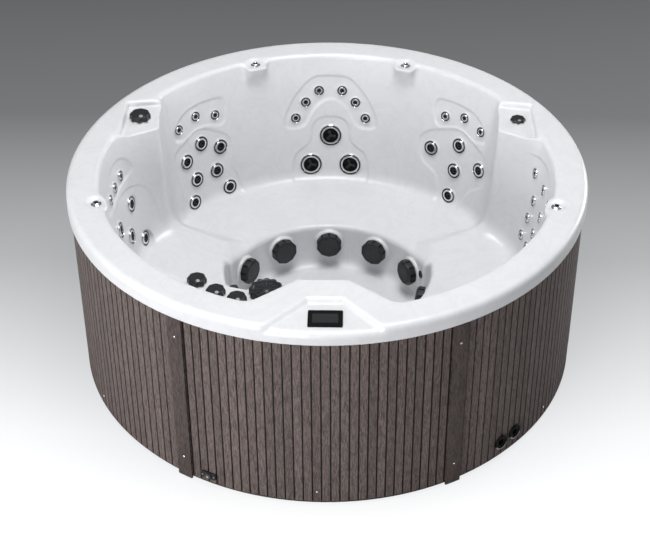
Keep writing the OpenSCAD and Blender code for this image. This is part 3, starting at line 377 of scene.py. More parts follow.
def surface_net(field, low, high, cell, skip):
    """Points and quads on the zero level of a field, by surface nets over the blocks that it crosses."""
    n, blocks_at_once = 4, 6000
    block = cell * n
    low = np.asarray(low, float)
    counts = np.ceil((np.asarray(high) - low) / block).astype(int)
    blocks = np.stack(np.meshgrid(*[np.arange(c) for c in counts], indexing="ij"), -1).reshape(-1, 3)
    middle = low + (blocks + 0.5) * block
    near = np.abs(field(*middle.T.copy())) < block * 1.05
    blocks = blocks[near & ~skip(*middle.T)]
    cells = counts * n
    steps = np.arange(n + 1)
    offsets = np.stack(np.meshgrid(steps, steps, steps, indexing="ij"), -1).reshape(-1, 3)
    corners = [(i, j, k) for i in (0, 1) for j in (0, 1) for k in (0, 1)]

    def key(index):
        return (index[..., 0] * cells[1] + index[..., 1]) * cells[2] + index[..., 2]

    keys, points, crossings = [], [], []
    for start in range(0, len(blocks), blocks_at_once):
        part = blocks[start:start + blocks_at_once]
        samples = low + (part[:, None, :] * n + offsets[None]) * cell
        v = field(*samples.reshape(-1, 3).T.copy()).reshape(-1, n + 1, n + 1, n + 1)

        def corner(c):
            return v[:, c[0]:c[0] + n, c[1]:c[1] + n, c[2]:c[2] + n]

        wet = sum((corner(c) < 0).astype(np.int8) for c in corners)
        mixed = (wet > 0) & (wet < 8)
        total, hits = np.zeros(mixed.shape + (3,)), np.zeros(mixed.shape)
        for axis in range(3):
            for c in (c for c in corners if not c[axis]):
                a = corner(c)
                b = corner(tuple(1 if q == axis else c[q] for q in range(3)))
                cross = (a < 0) != (b < 0)
                t = np.where(cross, a / np.where(cross, a - b, 1), 0)
                for q in range(3):
                    total[..., q] += np.where(cross, c[q] + (t if q == axis else 0), 0)
                hits += cross
        where = np.argwhere(mixed)
        index = part[where[:, 0]] * n + where[:, 1:]
        points.append(low + (index + total[mixed] / hits[mixed][:, None]) * cell)
        keys.append(key(index))
        for axis in range(3):
            first = [slice(None)] + [slice(0, n)] * 3
            last = list(first)
            last[axis + 1] = slice(1, n + 1)
            a, b = v[tuple(first)] < 0, v[tuple(last)] < 0
            where = np.argwhere(a != b)
            crossings.append((axis, part[where[:, 0]] * n + where[:, 1:], a[a != b]))
    keys, points = np.concatenate(keys), np.concatenate(points)
    order = np.argsort(keys)
    keys, points = keys[order], points[order]
    quads = []
    for axis, edge, low_is_wet in crossings:
        u, v = [(1, 2), (2, 0), (0, 1)][axis]
        ring = np.repeat(edge[:, None, :], 4, 1)
        ring[:, [1, 2], u] -= 1
        ring[:, [2, 3], v] -= 1
        ring = key(ring)
        index = np.clip(np.searchsorted(keys, ring), 0, len(keys) - 1)
        found = (keys[index] == ring).all(1)
        index = index[found]
        turned = low_is_wet[found]
        index[turned] = index[turned][:, ::-1]
        quads.append(index)
    return points, np.concatenate(quads)


def slope_of(field, points, h=0.4):
    """Gradient of a field, by differences over h to either side."""
    columns = []
    for q in range(3):
        e = np.zeros(3)
        e[q] = h
        columns.append((field(*(points + e).T.copy()) - field(*(points - e).T.copy())) / (2 * h))
    return np.stack(columns, 1)


def settle(field, points, cell, rounds=2):
    """Moves points onto the zero level."""
    for _ in range(rounds):
        g = slope_of(field, points)
        step = (field(*points.T.copy()) / np.maximum((g * g).sum(1), 0.2))[:, None] * g
        length = np.linalg.norm(step, axis=1, keepdims=True)
        points = points - step * np.minimum(1, cell * 0.6 / np.maximum(length, 1e-9))
    return points


# Meshes; an edge is drawn sharp from this angle in degrees

SHARP_FROM = 32


def ring(r, z, n=64):
    t = np.arange(n) * 2 * math.pi / n
    return np.stack([r * np.cos(t), r * np.sin(t), np.full(n, float(z))], 1)


def lobed_ring(r, z, lobes, depth, n=96, power=1.0):
    """Ring with scallops between its lobes."""
    t = np.arange(n) * 2 * math.pi / n
    rr = r - depth * ((1 - np.cos(lobes * t)) / 2) ** power
    return np.stack([rr * np.cos(t), rr * np.sin(t), np.full(n, float(z))], 1)


def cornered_ring(r, z, corners, n=96, softness=0.25):
    """Ring between a circle and a polygon with that many corners."""
    t = np.arange(n) * 2 * math.pi / n
    half = math.pi / corners
    flat = math.cos(half) / np.cos((t + half) % (2 * half) - half)
    rr = r * (softness + (1 - softness) * flat)
    return np.stack([rr * np.cos(t), rr * np.sin(t), np.full(n, float(z))], 1)


def box_ring(w, l, z, corner, n=8):
    """Rounded rectangle."""
    pts = []
    for k, (sx, sy) in enumerate([(1, 1), (-1, 1), (-1, -1), (1, -1)]):
        for i in range(n + 1):
            t = (k + i / n) * math.pi / 2
            pts.append((sx * (w / 2 - corner) + corner * math.cos(t),
                        sy * (l / 2 - corner) + corner * math.sin(t), z))
    return np.array(pts)


def loft(rings, start=True, end=True):
    """Skin over rings with the same number of points, closed at the start and end where asked."""
    n, faces = len(rings[0]), []
    for i in range(len(rings) - 1):
        a, b = i * n, (i + 1) * n
        faces += [(a + j, a + (j + 1) % n, b + (j + 1) % n, b + j) for j in range(n)]
    if start:
        faces.append(tuple(range(n - 1, -1, -1)))
    if end:
        faces.append(tuple((len(rings) - 1) * n + j for j in range(n)))
    return np.concatenate(rings), faces


def turned(profile, n=64, start=True, end=True):
    """Turned piece from (radius, height) points that run up the outside and in over the top."""
    return loft([ring(r, z, n) for r, z in profile], start, end)


def block(*sizes, n=3):
    """Loft over rounded rectangles given as width, length, height and corner radius."""
    return loft([box_ring(*size, n) for size in sizes])


def moved(part, placement):
    verts, faces = part
    m = np.array(placement)
    return verts @ m[:3, :3].T + m[:3, 3], faces


def piece(name, parts, body, replaces=()):
    """One object from parts given as (mesh, material)."""
    verts, faces, slots, materials, total = [], [], [], [], 0
    for (v, f), material in parts:
        if material not in materials:
            materials.append(material)
        verts.append(v)
        faces += [tuple(i + total for i in face) for face in f]
        slots += [materials.index(material)] * len(f)
        total += len(v)
    mesh = bpy.data.meshes.new(name)
    mesh.from_pydata((np.concatenate(verts) * MM).tolist(), [], faces)
    for material in materials:
        mesh.materials.append(material)
    mesh.polygons.foreach_set("material_index", slots)
    mesh.polygons.foreach_set("use_smooth", [True] * len(faces))
    mesh.set_sharp_from_angle(angle=math.radians(SHARP_FROM))
    mesh.update()
    obj = bpy.data.objects.new(name, mesh)
    bpy.context.scene.collection.objects.link(obj)
    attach(obj, body)
    if replaces:
        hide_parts(*replaces)
    return obj


# Materials

def new_group(name, inputs, outputs):
    group = bpy.data.node_groups.new(name, "ShaderNodeTree")
    for label, kind, value in inputs:
        socket = group.interface.new_socket(label, in_out="INPUT", socket_type=kind)
        socket.default_value = value
    for label, kind in outputs:
        group.interface.new_socket(label, in_out="OUTPUT", socket_type=kind)
    return group, Wiring(group)


class Wiring:
    """Adds nodes to a tree and joins them by name."""

    def __init__(self, tree):
        self.tree = tree

    def add(self, kind, inputs=None, **settings):
        node = self.tree.nodes.new(kind)
        for key, value in settings.items():
            setattr(node, key, value)
        for key, value in (inputs or {}).items():
            socket = node.inputs[key]
            if isinstance(value, bpy.types.NodeSocket):
                self.tree.links.new(value, socket)
            else:
                socket.default_value = value
        return node

    def math(self, operation, a, b=0.0, clamp=False):
        return self.add("ShaderNodeMath", {0: a, 1: b}, operation=operation, use_clamp=clamp).outputs[0]

    def mix(self, factor, a, b, blend="MIX"):
        return self.add("ShaderNodeMix", {0: factor, 6: a, 7: b}, data_type="RGBA", blend_type=blend).outputs[2]

    def ramp(self, factor, stops):
        node = self.add("ShaderNodeValToRGB", {0: factor})
        band = node.color_ramp
        while len(band.elements) < len(stops):
            band.elements.new(0.5)
        for element, (place, value) in zip(band.elements, stops):
            element.position = place
            element.color = (*value, 1)
        return node.outputs[0]

    def noise(self, vector, scale, detail=3.0, rough=0.5, distortion=0.0):
        return self.add("ShaderNodeTexNoise", {"Vector": vector, "Scale": scale, "Detail": detail,
                                               "Roughness": rough, "Distortion": distortion}).outputs[0]

    def stretched(self, vector, scale):
        return self.add("ShaderNodeMapping", {0: vector, 3: scale}).outputs[0]

    def place(self):
        return self.add("ShaderNodeTexCoord").outputs["Object"]


def make_wear_group():
    """Slow stains and fine scuffs that change a finish a little all over."""
    group, w = new_group("surface_wear", [("Scale", "NodeSocketFloat", 12.0), ("Stain", "NodeSocketFloat", 0.5)],
                         [("Mask", "NodeSocketFloat"), ("Scuffs", "NodeSocketFloat"), ("Height", "NodeSocketFloat")])
    given = w.add("NodeGroupInput")
    place = w.place()
    slow = w.noise(place, given.outputs["Scale"], 4.0, 0.6)
    fine = w.noise(place, w.math("MULTIPLY", given.outputs["Scale"], 26.0), 2.0, 0.5)
    streak = w.noise(w.stretched(place, (1.0, 1.0, 9.0)), w.math("MULTIPLY", given.outputs["Scale"], 5.0), 3.0, 0.65)
    out = w.add("NodeGroupOutput")
    mask = w.math("MULTIPLY", w.math("SUBTRACT", slow, 0.42, clamp=True), given.outputs["Stain"], clamp=True)
    scuffs = w.math("MULTIPLY", w.math("SUBTRACT", streak, 0.55, clamp=True), 3.0, clamp=True)
    for label, value in (("Mask", mask), ("Scuffs", scuffs), ("Height", fine)):
        w.tree.links.new(value, out.inputs[label])
    return group


def make_grain_group():
    """Wood grain that runs up the pieces, with a tone for each board between grooves."""
    group, w = new_group("board_grain", [("Boards", "NodeSocketFloat", 186.0), ("Fineness", "NodeSocketFloat", 1.0),
                                         ("Start", "NodeSocketFloat", 0.0), ("Groove Width", "NodeSocketFloat", 0.1)],
                         [("Grain", "NodeSocketFloat"), ("Board", "NodeSocketFloat"), ("Pores", "NodeSocketFloat"),
                          ("Groove", "NodeSocketFloat")])
    given = w.add("NodeGroupInput")
    place = w.place()
    split = w.add("ShaderNodeSeparateXYZ", {0: place})
    bearing = w.math("ARCTAN2", split.outputs[0], split.outputs[1])
    turn = w.math("DIVIDE", w.math("SUBTRACT", bearing, given.outputs["Start"]), 2 * math.pi)
    count = w.math("MULTIPLY", turn, given.outputs["Boards"])
    board = w.math("FLOOR", count)
    edge = w.math("MULTIPLY", w.math("ABSOLUTE", w.math("SUBTRACT", w.math("FRACT", count), 0.5)), 2.0)
    past = w.math("SUBTRACT", edge, w.math("SUBTRACT", 1.0, given.outputs["Groove Width"]))
    groove = w.math("MULTIPLY", past, 18.0, clamp=True)
    tone = w.add("ShaderNodeTexWhiteNoise", {"W": board}, noise_dimensions="1D").outputs["Value"]
    shifted = w.add("ShaderNodeCombineXYZ", {0: w.math("MULTIPLY", bearing, 1.05), 1: w.math("MULTIPLY", board, 0.37),
                                             2: split.outputs[2]}).outputs[0]
    fine = given.outputs["Fineness"]
    grain = w.noise(w.stretched(shifted, (1.0, 1.0, 0.11)), w.math("MULTIPLY", fine, 130.0), 6.0, 0.68, 1.1)
    pores = w.noise(w.stretched(shifted, (1.0, 1.0, 0.03)), w.math("MULTIPLY", fine, 420.0), 3.0, 0.6)
    out = w.add("NodeGroupOutput")
    for label, value in (("Grain", grain), ("Board", tone), ("Pores", pores), ("Groove", groove)):
        w.tree.links.new(value, out.inputs[label])
    return group


WEAR, GRAIN = make_wear_group(), make_grain_group()


def new_material(name):
    material = bpy.data.materials.new(name)
    material.use_nodes = True
    return material, Wiring(material.node_tree), material.node_tree.nodes["Principled BSDF"]


def grouped(w, tree, inputs):
    """A shader group placed in a material with its own values."""
    node = w.tree.nodes.new("ShaderNodeGroup")
    node.node_tree = tree
    for key, value in inputs.items():
        node.inputs[key].default_value = value
    return node


def bump(w, height, strength, distance_mm, shader):
    """Small relief, for what is too fine for the mesh."""
    node = w.add("ShaderNodeBump", {"Strength": strength, "Distance": distance_mm * MM, "Height": height})
    w.tree.links.new(node.outputs[0], shader.inputs["Normal"])


def plain_finish(name, colour, stained, rough, rough_worn, metal=0.0, shine=0.5, scale=14.0, relief=0.05):
    """Moulded, painted or steel finish with stains, scuffs and a fine skin."""
    material, w, shader = new_material(name)
    wear = grouped(w, WEAR, {"Scale": scale, "Stain": 0.6})
    base = w.mix(wear.outputs["Mask"], (*colour, 1), (*stained, 1))
    w.tree.links.new(base, shader.inputs["Base Color"])
    roughness = w.add("ShaderNodeMapRange", {0: wear.outputs["Scuffs"], 3: rough, 4: rough_worn}).outputs[0]
    w.tree.links.new(roughness, shader.inputs["Roughness"])
    shader.inputs["Metallic"].default_value = metal
    shader.inputs["Specular IOR Level"].default_value = shine
    bump(w, wear.outputs["Height"], relief, 0.3, shader)
    return material


def make_acrylic():
    """Glossy white acrylic with a faint silver marbling."""
    material, w, shader = new_material("marbled_acrylic")
    place = w.place()
    cloud = w.noise(place, 2.3, 5.0, 0.6, 1.4)
    vein = w.math("ABSOLUTE", w.math("SUBTRACT", w.noise(place, 5.5, 4.0, 0.55, 2.2), 0.5))
    vein = w.math("SUBTRACT", 1.0, w.math("MULTIPLY", vein, 16.0), clamp=True)
    cloud = w.math("MULTIPLY", w.math("SUBTRACT", cloud, 0.4, clamp=True), 1.6, clamp=True)
    base = w.mix(cloud, (0.715, 0.72, 0.738, 1), (0.665, 0.671, 0.688, 1))
    base = w.mix(w.math("MULTIPLY", vein, 0.24), base, (0.6, 0.605, 0.62, 1))
    w.tree.links.new(base, shader.inputs["Base Color"])
    wear = grouped(w, WEAR, {"Scale": 9.0, "Stain": 0.5})
    roughness = w.add("ShaderNodeMapRange", {0: wear.outputs["Scuffs"], 3: 0.3, 4: 0.42}).outputs[0]
    w.tree.links.new(roughness, shader.inputs["Roughness"])
    shader.inputs["Coat Weight"].default_value = 0.06
    shader.inputs["Coat Roughness"].default_value = 0.2
    bump(w, w.noise(place, 60.0, 2.0, 0.4), 0.06, 0.4, shader)
    return material


BOARD_COUNT = 186.0


def make_boards(name, light, dark, groove_w):
    """Wood-grain vinyl boards with near-black grooves between them."""
    material, w, shader = new_material(name)
    grain = grouped(w, GRAIN, {"Boards": BOARD_COUNT, "Fineness": 1.9, "Start": math.radians(JOINT_BEARING),
                               "Groove Width": groove_w})
    between = [(a + b) / 2 for a, b in zip(light, dark)]
    streaks = w.ramp(grain.outputs["Grain"], [(0.4, dark), (0.49, between), (0.58, light)])
    tone = w.add("ShaderNodeMapRange", {0: grain.outputs["Board"], 3: 0.86, 4: 1.1}).outputs[0]
    tone = w.add("ShaderNodeCombineColor", {0: tone, 1: tone, 2: tone}).outputs[0]
    base = w.mix(1.0, streaks, tone, "MULTIPLY")
    pore = w.math("MULTIPLY", w.math("SUBTRACT", grain.outputs["Pores"], 0.55, clamp=True), 5.0, clamp=True)
    base = w.mix(pore, base, (0.02, 0.015, 0.013, 1))
    base = w.mix(grain.outputs["Groove"], base, (0.006, 0.005, 0.005, 1))
    w.tree.links.new(base, shader.inputs["Base Color"])
    rough = w.add("ShaderNodeMapRange", {0: grain.outputs["Grain"], 3: 0.68, 4: 0.5}).outputs[0]
    w.tree.links.new(rough, shader.inputs["Roughness"])
    shader.inputs["Specular IOR Level"].default_value = 0.3
    bump(w, grain.outputs["Grain"], 0.5, 0.5, shader)
    return material


def make_timber():
    """Planed softwood with rings along the pieces."""
    material, w, shader = new_material("planed_timber")
    place = w.place()
    rings = w.add("ShaderNodeTexWave", {"Vector": w.stretched(place, (1.0, 1.0, 0.12)), "Scale": 14.0,
                                        "Distortion": 6.0, "Detail": 3.0}).outputs["Fac"]
    base = w.ramp(rings, [(0.0, (0.46, 0.3, 0.16)), (0.6, (0.62, 0.44, 0.26)), (1.0, (0.68, 0.5, 0.31))])
    w.tree.links.new(base, shader.inputs["Base Color"])
    shader.inputs["Roughness"].default_value = 0.6
    bump(w, rings, 0.25, 0.4, shader)
    return material


ACRYLIC = make_acrylic()
BOARDS = make_boards("grained_boards", (0.172, 0.134, 0.123), (0.062, 0.046, 0.042), 0.2)
STRIP_BOARD = make_boards("grained_strip", (0.092, 0.07, 0.064), (0.036, 0.026, 0.024), 0.0)
TIMBER = make_timber()
POLISHED_STEEL = plain_finish("polished_steel", (0.72, 0.72, 0.73), (0.62, 0.62, 0.63), 0.12, 0.26, metal=1.0,
                              scale=40.0, relief=0.02)
BRUSHED_STEEL = plain_finish("brushed_steel", (0.6, 0.6, 0.61), (0.5, 0.5, 0.51), 0.28, 0.42, metal=1.0, scale=60.0)
# Near-black steel for the jet channels: painted dark reflection and shade, not the steel's own colour
STEEL_PAINTED_DARK_REFLECTION = plain_finish("steel_painted_dark_reflection", (0.02, 0.02, 0.022), (0.035, 0.035, 0.035), 0.35, 0.5, metal=0.2,
                          scale=50.0)
BLACK_PLASTIC = plain_finish("black_plastic", (0.018, 0.019, 0.022), (0.03, 0.03, 0.032), 0.36, 0.52, shine=0.35,
                             scale=30.0, relief=0.12)
DEEP_BLACK = plain_finish("deep_black", (0.002, 0.002, 0.0025), (0.006, 0.006, 0.006), 0.5, 0.65, shine=0.12,
                          scale=40.0)
CHARCOAL = plain_finish("charcoal_plastic", (0.05, 0.052, 0.056), (0.075, 0.076, 0.08), 0.4, 0.56, scale=36.0,
                        relief=0.2)
SILVER_SPOT = plain_finish("silver_spot", (0.42, 0.42, 0.43), (0.3, 0.3, 0.31), 0.3, 0.45, metal=0.3, scale=50.0)
WHITE_PLASTIC = plain_finish("white_plastic", (0.8, 0.805, 0.81), (0.72, 0.72, 0.72), 0.25, 0.4, scale=20.0)
PIPE_PLASTIC = plain_finish("pipe_plastic", (0.78, 0.78, 0.76), (0.68, 0.68, 0.65), 0.4, 0.55, scale=12.0)
PAN_PLASTIC = plain_finish("pan_plastic", (0.035, 0.035, 0.036), (0.055, 0.054, 0.052), 0.55, 0.7, scale=8.0,
                           relief=0.3)
FOAM = plain_finish("foam_board", (0.75, 0.7, 0.48), (0.66, 0.6, 0.4), 0.85, 0.95, scale=30.0, relief=0.8)
PAPER = plain_finish("pleated_paper", (0.82, 0.82, 0.79), (0.7, 0.69, 0.64), 0.8, 0.9, scale=20.0, relief=0.5)
SCREEN = plain_finish("screen_glass", (0.026, 0.027, 0.028), (0.034, 0.034, 0.036), 0.12, 0.2, shine=0.2,
                      scale=30.0)
MOTOR_PAINT = plain_finish("motor_paint", (0.05, 0.055, 0.065), (0.08, 0.08, 0.085), 0.4, 0.6, scale=18.0,
                           relief=0.2)
BOX_PAINT = plain_finish("box_paint", (0.1, 0.105, 0.115), (0.14, 0.14, 0.145), 0.4, 0.55, scale=10.0, relief=0.2)


# Pieces

def make_shell():
    """Skin of the moulding, open below its outer lip where the skirt hides it."""
    cell = 5.0
    half, low, high, skirt_from = 1080, 50, 900, 1010
    points, quads = surface_net(air, (-half, -half, low), (half, half, high), cell,
                                lambda x, y, z: (np.hypot(x, y) > skirt_from) & (z < LIP_Z - 30))
    points = settle(air, points, cell)
    middle = points[quads].mean(1)
    hidden = (np.hypot(middle[:, 0], middle[:, 1]) > skirt_from + 10) & (middle[:, 2] < LIP_Z - 2)
    quads = quads[~hidden]
    used, quads = np.unique(quads, return_inverse=True)
    quads = quads.reshape(-1, 4)
    points = points[used]
    normals = -slope_of(air, points)
    normals /= np.linalg.norm(normals, axis=1, keepdims=True)
    mesh = bpy.data.meshes.new("moulded_shell")
    mesh.from_pydata((points * MM).tolist(), [], quads.tolist())
    mesh.materials.append(ACRYLIC)
    mesh.polygons.foreach_set("use_smooth", [True] * len(quads))
    mesh.normals_split_custom_set_from_vertices(normals.tolist())
    mesh.update()
    shell = bpy.data.objects.new("moulded_shell", mesh)
    bpy.context.scene.collection.objects.link(shell)
    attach(shell, "tub")
    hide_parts("acrylic_shell")


def jet_ring(r, core):
    """Thin bright bead, wide channel in near-black steel that is painted dark reflection and shade, and light inner
    ring of a jet face.
    """
    channel_share, lip_share = 0.948, 0.55
    channel_r = r * channel_share
    inner = core + (channel_r - core) * lip_share
    bead = turned([(r - 0.6, -3.6), (r, 0.4), (r - 0.2, 1.8), ((r + channel_r) / 2, 2.7), (channel_r, 2.0)],
                  start=False, end=False)
    channel = turned([(channel_r, 2.0), (channel_r - 0.8, 0.5), (inner + 0.8, 0.4)], start=False, end=False)
    lip = turned([(inner + 0.8, 0.4), (inner, 2.0), (inner - 0.8, 2.9), (core + 1.2, 3.6), (core + 0.3, 3.4),
                  (core, 2.2)], start=False, end=False)
    return [(bead, POLISHED_STEEL), (channel, STEEL_PAINTED_DARK_REFLECTION), (lip, POLISHED_STEEL)]


def placed(parts, placement):
    return [(moved(mesh, placement), material) for mesh, material in parts]


def bore_shade_disc(r, z):
    """Dark disc that closes a bore: painted shade where the bore would run on into the dark."""
    return turned([(r, z - 0.2), (r, z)], 24), DEEP_BLACK


def make_small_jets():
    core_r = 10.2
    nozzle = turned([(9.8, -16), (9.8, 2.2), (9.0, 3.0), (6.4, 3.2), (5.2, 2.2), (4.6, -6)], 40, end=False)
    rings, nozzles = [], []
    for p in SMALL_JETS:
        at = wall_frame(*p)
        rings += placed(jet_ring(SMALL_FLANGE_R, core_r), at)
        nozzles += placed([(nozzle, BLACK_PLASTIC), bore_shade_disc(4.7, -6)], at)
    piece("small_jet_trim", rings, "tub", ["small_jet_rings"])
    piece("small_jet_cores", nozzles, "tub", ["small_jet_nozzles"])


def make_medium_jets():
    """Steel ring with a dark dish, an outlet off its middle and ribs opposite."""
    core_r, outlet = 19.2, slide(5.5)
    dish = turned([(core_r, -20), (core_r, 2.8), (core_r - 1.2, 3.5), (core_r - 3.2, 3.2), (core_r - 5, 1.8),
                   (0.2, 1.4)])
    eye = turned([(8.6, 0.8), (8.4, 3.8), (7.6, 4.6), (6.4, 4.4), (5.8, 3.0), (5.6, -8)], 40, end=False)
    rib = block((1.6, 9, 1.0, 0.7), (1.2, 8.6, 2.0, 0.5))
    parts = (jet_ring(MEDIUM_FLANGE_R, core_r) + [(dish, DEEP_BLACK)]
             + placed([(eye, BLACK_PLASTIC), bore_shade_disc(5.7, -8)], outlet)
             + [(moved(rib, spin(120 + 40 * k) @ slide(0, 9.5)), CHARCOAL) for k in range(-2, 3)])
    for i, p in enumerate(MEDIUM_JETS, 1):
        piece(f"medium_jet_{i}", placed(parts, wall_frame(*p)), f"medium_face_{i}", [f"medium_jet_face_{i}"])


def make_large_jets():
    """Bezel with four grip tabs, and an insert with three arms that each carry an outlet."""
    core_r = 36.0
    tab = block((9, 5, 2.2, 1.2), (8, 4, 4.4, 1.2), n=4)
    tabs = [(moved(tab, spin(90 * k + 45) @ slide(0, 43)), POLISHED_STEEL) for k in range(4)]
    disc = turned([(core_r - 0.8, -20), (core_r - 0.8, 1.6), (core_r - 2.6, 2.8), (core_r - 6, 2.6),
                   (core_r - 8, 1.6), (9, 1.0), (0.3, 0.8)], 72)
    arm = block((9, 22, 0.8, 4), (8.4, 21.4, 4.2, 4), (6.6, 19.6, 5.2, 3), n=5)
    eye = turned([(7.2, 1.0), (7.0, 4.6), (6.2, 5.4), (5.2, 5.2), (4.8, 3.6), (4.6, -8)], 36, end=False)
    hub = turned([(6.4, 0.8), (6.2, 5.0), (5.0, 6.2), (0.3, 6.6)], 36)
    insert = [(disc, DEEP_BLACK)]
    for k in range(3):
        turn = spin(120 * k + 20)
        insert += [(moved(arm, turn @ slide(0, 11)), BLACK_PLASTIC), (moved(eye, turn @ slide(0, 19)), BLACK_PLASTIC)]
    insert.append((hub, BLACK_PLASTIC))
    for i, p in enumerate(LARGE_JETS, 1):
        at = wall_frame(*p)
        piece(f"large_jet_ring_{i}", placed(jet_ring(LARGE_FLANGE_R, core_r) + tabs, at), f"large_bezel_{i}",
              [f"large_jet_bezel_{i}"])
        piece(f"large_jet_core_{i}", placed(insert, at), f"large_rotor_{i}", [f"large_jet_rotor_{i}"])


def make_suction_covers():
    """Domed ten-sided covers with ribs across the face, and on each side a deep black bar that is painted shade for a
    notch.
    """
    foot = COLLAR_H + 1.0
    top = foot + COVER_H
    sides, rib_pitch, rib_reach = 10, 7.8, 45
    walls = [(54, foot), (57, foot + 2), (57, top - 9), (55.5, top - 4), (51, top - 0.8)]
    body = loft([cornered_ring(r, z, sides) for r, z in walls]
                + [cornered_ring(48, top, sides, softness=0.5), ring(46, top - 1.6, 96), ring(0.3, top + 0.4, 96)])
    parts = [(body, BLACK_PLASTIC)]
    for k in range(-5, 6):
        length = 2 * math.sqrt(rib_reach ** 2 - (k * rib_pitch) ** 2)
        rib = block((2.6, length, top - 1.8, 1.2), (2.2, length - 0.6, top + 0.6, 1.0),
                    (1.4, length - 1.4, top + 1.0, 0.6))
        parts.append((moved(rib, spin(28) @ slide(k * rib_pitch)), CHARCOAL))
    # Deep black bars on the sides: painted shade standing in for the notches
    notch_shade_bar = block((8, 3.4, foot + 4, 1), (8, 3.4, top - 8, 1))
    parts += [(moved(notch_shade_bar, spin(36 * k) @ slide(0, 56)), DEEP_BLACK) for k in range(sides)]
    covers = [part for bearing in COVER_BEARINGS for part in placed(parts, well_frame(bearing))]
    piece("suction_domes", covers, "tub", ["suction_covers"])


def make_return():
    reach = WELL_R - WELL_DRAFT * (BENCH_Z - RETURN_Z) / (BENCH_Z - FLOOR_Z)
    at = spin(-RETURN_BEARING) @ slide(0, reach, RETURN_Z) @ Matrix.Rotation(math.pi / 2 - WELL_LEAN, 4, "X")
    flange = turned([(17, -1), (18, 1), (17.4, 3.4), (14, 5), (9, 5.2), (8, 4), (7.4, -10)], 40, end=False)
    bar = block((1.8, 15, 1.5, 0.8), (1.4, 14.6, 4.4, 0.6))
    parts = ([(flange, BLACK_PLASTIC), bore_shade_disc(7.5, -10)]
             + [(moved(bar, slide(k * 4.6)), BLACK_PLASTIC) for k in (-1, 0, 1)])
    piece("heater_return_grille", placed(parts, at), "tub", ["heater_return"])


def make_fountains():
    flange = turned([(21.6, -2), (22, 0.6), (21.4, 2.2), (18, 4.2), (14.4, 5.2), (13, 6.4), (12.6, 8.2),
                     (11.4, 9.2), (8.6, 9.4), (7.4, 8.2), (7.0, -4)], 56, end=False)
    ball = turned([(7.0, -4.2), (6.8, 2.0), (5.0, 4.6), (2.6, 5.2), (2.0, 3.0), (1.8, -3)], 32)
    parts = []
    for bearing, r in TABS:
        parts += placed([(flange, POLISHED_STEEL), (ball, DEEP_BLACK)], spin(-bearing) @ slide(0, r, TAB_Z))
    piece("fountain_jets", parts, "tub", ["fountain_nozzles"])


def make_knobs():
    """Lobed knobs with a dished top and a light spot that shows how far they are turned."""
    lobes, foot = 8, 3.4
    for name, (x, y, z, d, h) in KNOBS.items():
        r, top = d / 2, h - 0.5
        profile = [(0.96, foot, 0.12), (1, foot + 1.6, 0.13), (1, top * 0.62, 0.13), (0.975, top * 0.76, 0.11),
                   (0.92, top * 0.87, 0.07), (0.84, top * 0.95, 0.03), (0.74, top, 0), (0.66, top - 0.4, 0),
                   (0.3, top - 1.4, 0)]
        body = loft([lobed_ring(r * share, up, lobes, r * depth) for share, up, depth in profile]
                    + [lobed_ring(0.3, top - 1.6, lobes, 0)])
        spot = turned([(r * 0.2, -2), (r * 0.2, 1.2), (r * 0.17, 1.7), (r * 0.13, 1.2), (0.2, 0.8)], 36)
        spot_at = spin(285) @ slide(r * 0.6, 0, top - 1.0)
        parts = [(body, BLACK_PLASTIC), (moved(spot, spot_at), SILVER_SPOT)]
        piece(name + "_grip", placed(parts, slide(x, y, z)), name, [name])


def make_filter_cap():
    lobes, r = 12, 65.0
    side = [(r - 1.5, 0.4, 9), (r, 2, 10), (r, 20, 10), (r - 1.6, 24, 9), (r - 5, 26.6, 6)]
    dished = [(50, 25), (46, 20.5), (20, 19.5), (16, 22), (11, 24), (0.3, 24.4)]
    body = loft([lobed_ring(rr, z, lobes, depth, power=1.6) for rr, z, depth in side]
                + [lobed_ring(r - 10, 26.8, lobes, 2)] + [ring(rr, z, 96) for rr, z in dished])
    skirt = turned([(58.6, -23.5), (59.2, -22), (59.2, 0.5)], 72, end=False)
    stem = turned([(20.4, -60), (21.4, -58), (21.4, -20)], 48)
    rib = block((3, 25, 20.0, 1.2), (2, 24, 23.0, 0.9))
    ribs = [(moved(rib, spin(30 * k) @ slide(0, 32)), CHARCOAL) for k in range(lobes)]
    parts = placed([(body, BLACK_PLASTIC), (skirt, BLACK_PLASTIC), (stem, BLACK_PLASTIC)] + ribs,
                   slide(*FILTER, LEDGE_Z))
    piece("filter_cap_top", parts, "filter_cap", ["filter_cap"])


def make_panel():
    w, l = PANEL_W, PANEL_L
    at = slide(*PANEL_PLACE, FIELD_Z)
    rim = loft([box_ring(w - 1, l - 1, 0.1, 5), box_ring(w, l, 1.2, 5), box_ring(w, l, 5.4, 5),
                box_ring(w - 2.4, l - 2.4, 6.8, 4.4), box_ring(w - 32, l - 36, 6.9, 3),
                box_ring(w - 34, l - 38, 5.4, 3)], end=False)
    glass = loft([box_ring(w - 33.6, l - 37.6, 4.4, 3), box_ring(w - 33.6, l - 37.6, 5.2, 3),
                  box_ring(w - 36, l - 40, 5.5, 2)])
    piece("control_panel_frame", placed([(rim, DEEP_BLACK)], at), "tub", ["control_panel_bezel"])
    piece("control_panel_screen", placed([(glass, SCREEN)], at), "tub", ["control_panel_glass"])


def on_skirt(bearing, z, beyond=0.0):
    """Placement on the skirt, with +Z outwards and +Y down."""
    return spin(-bearing) @ slide(0, SKIRT_R + beyond, z) @ spin(-90, "X")


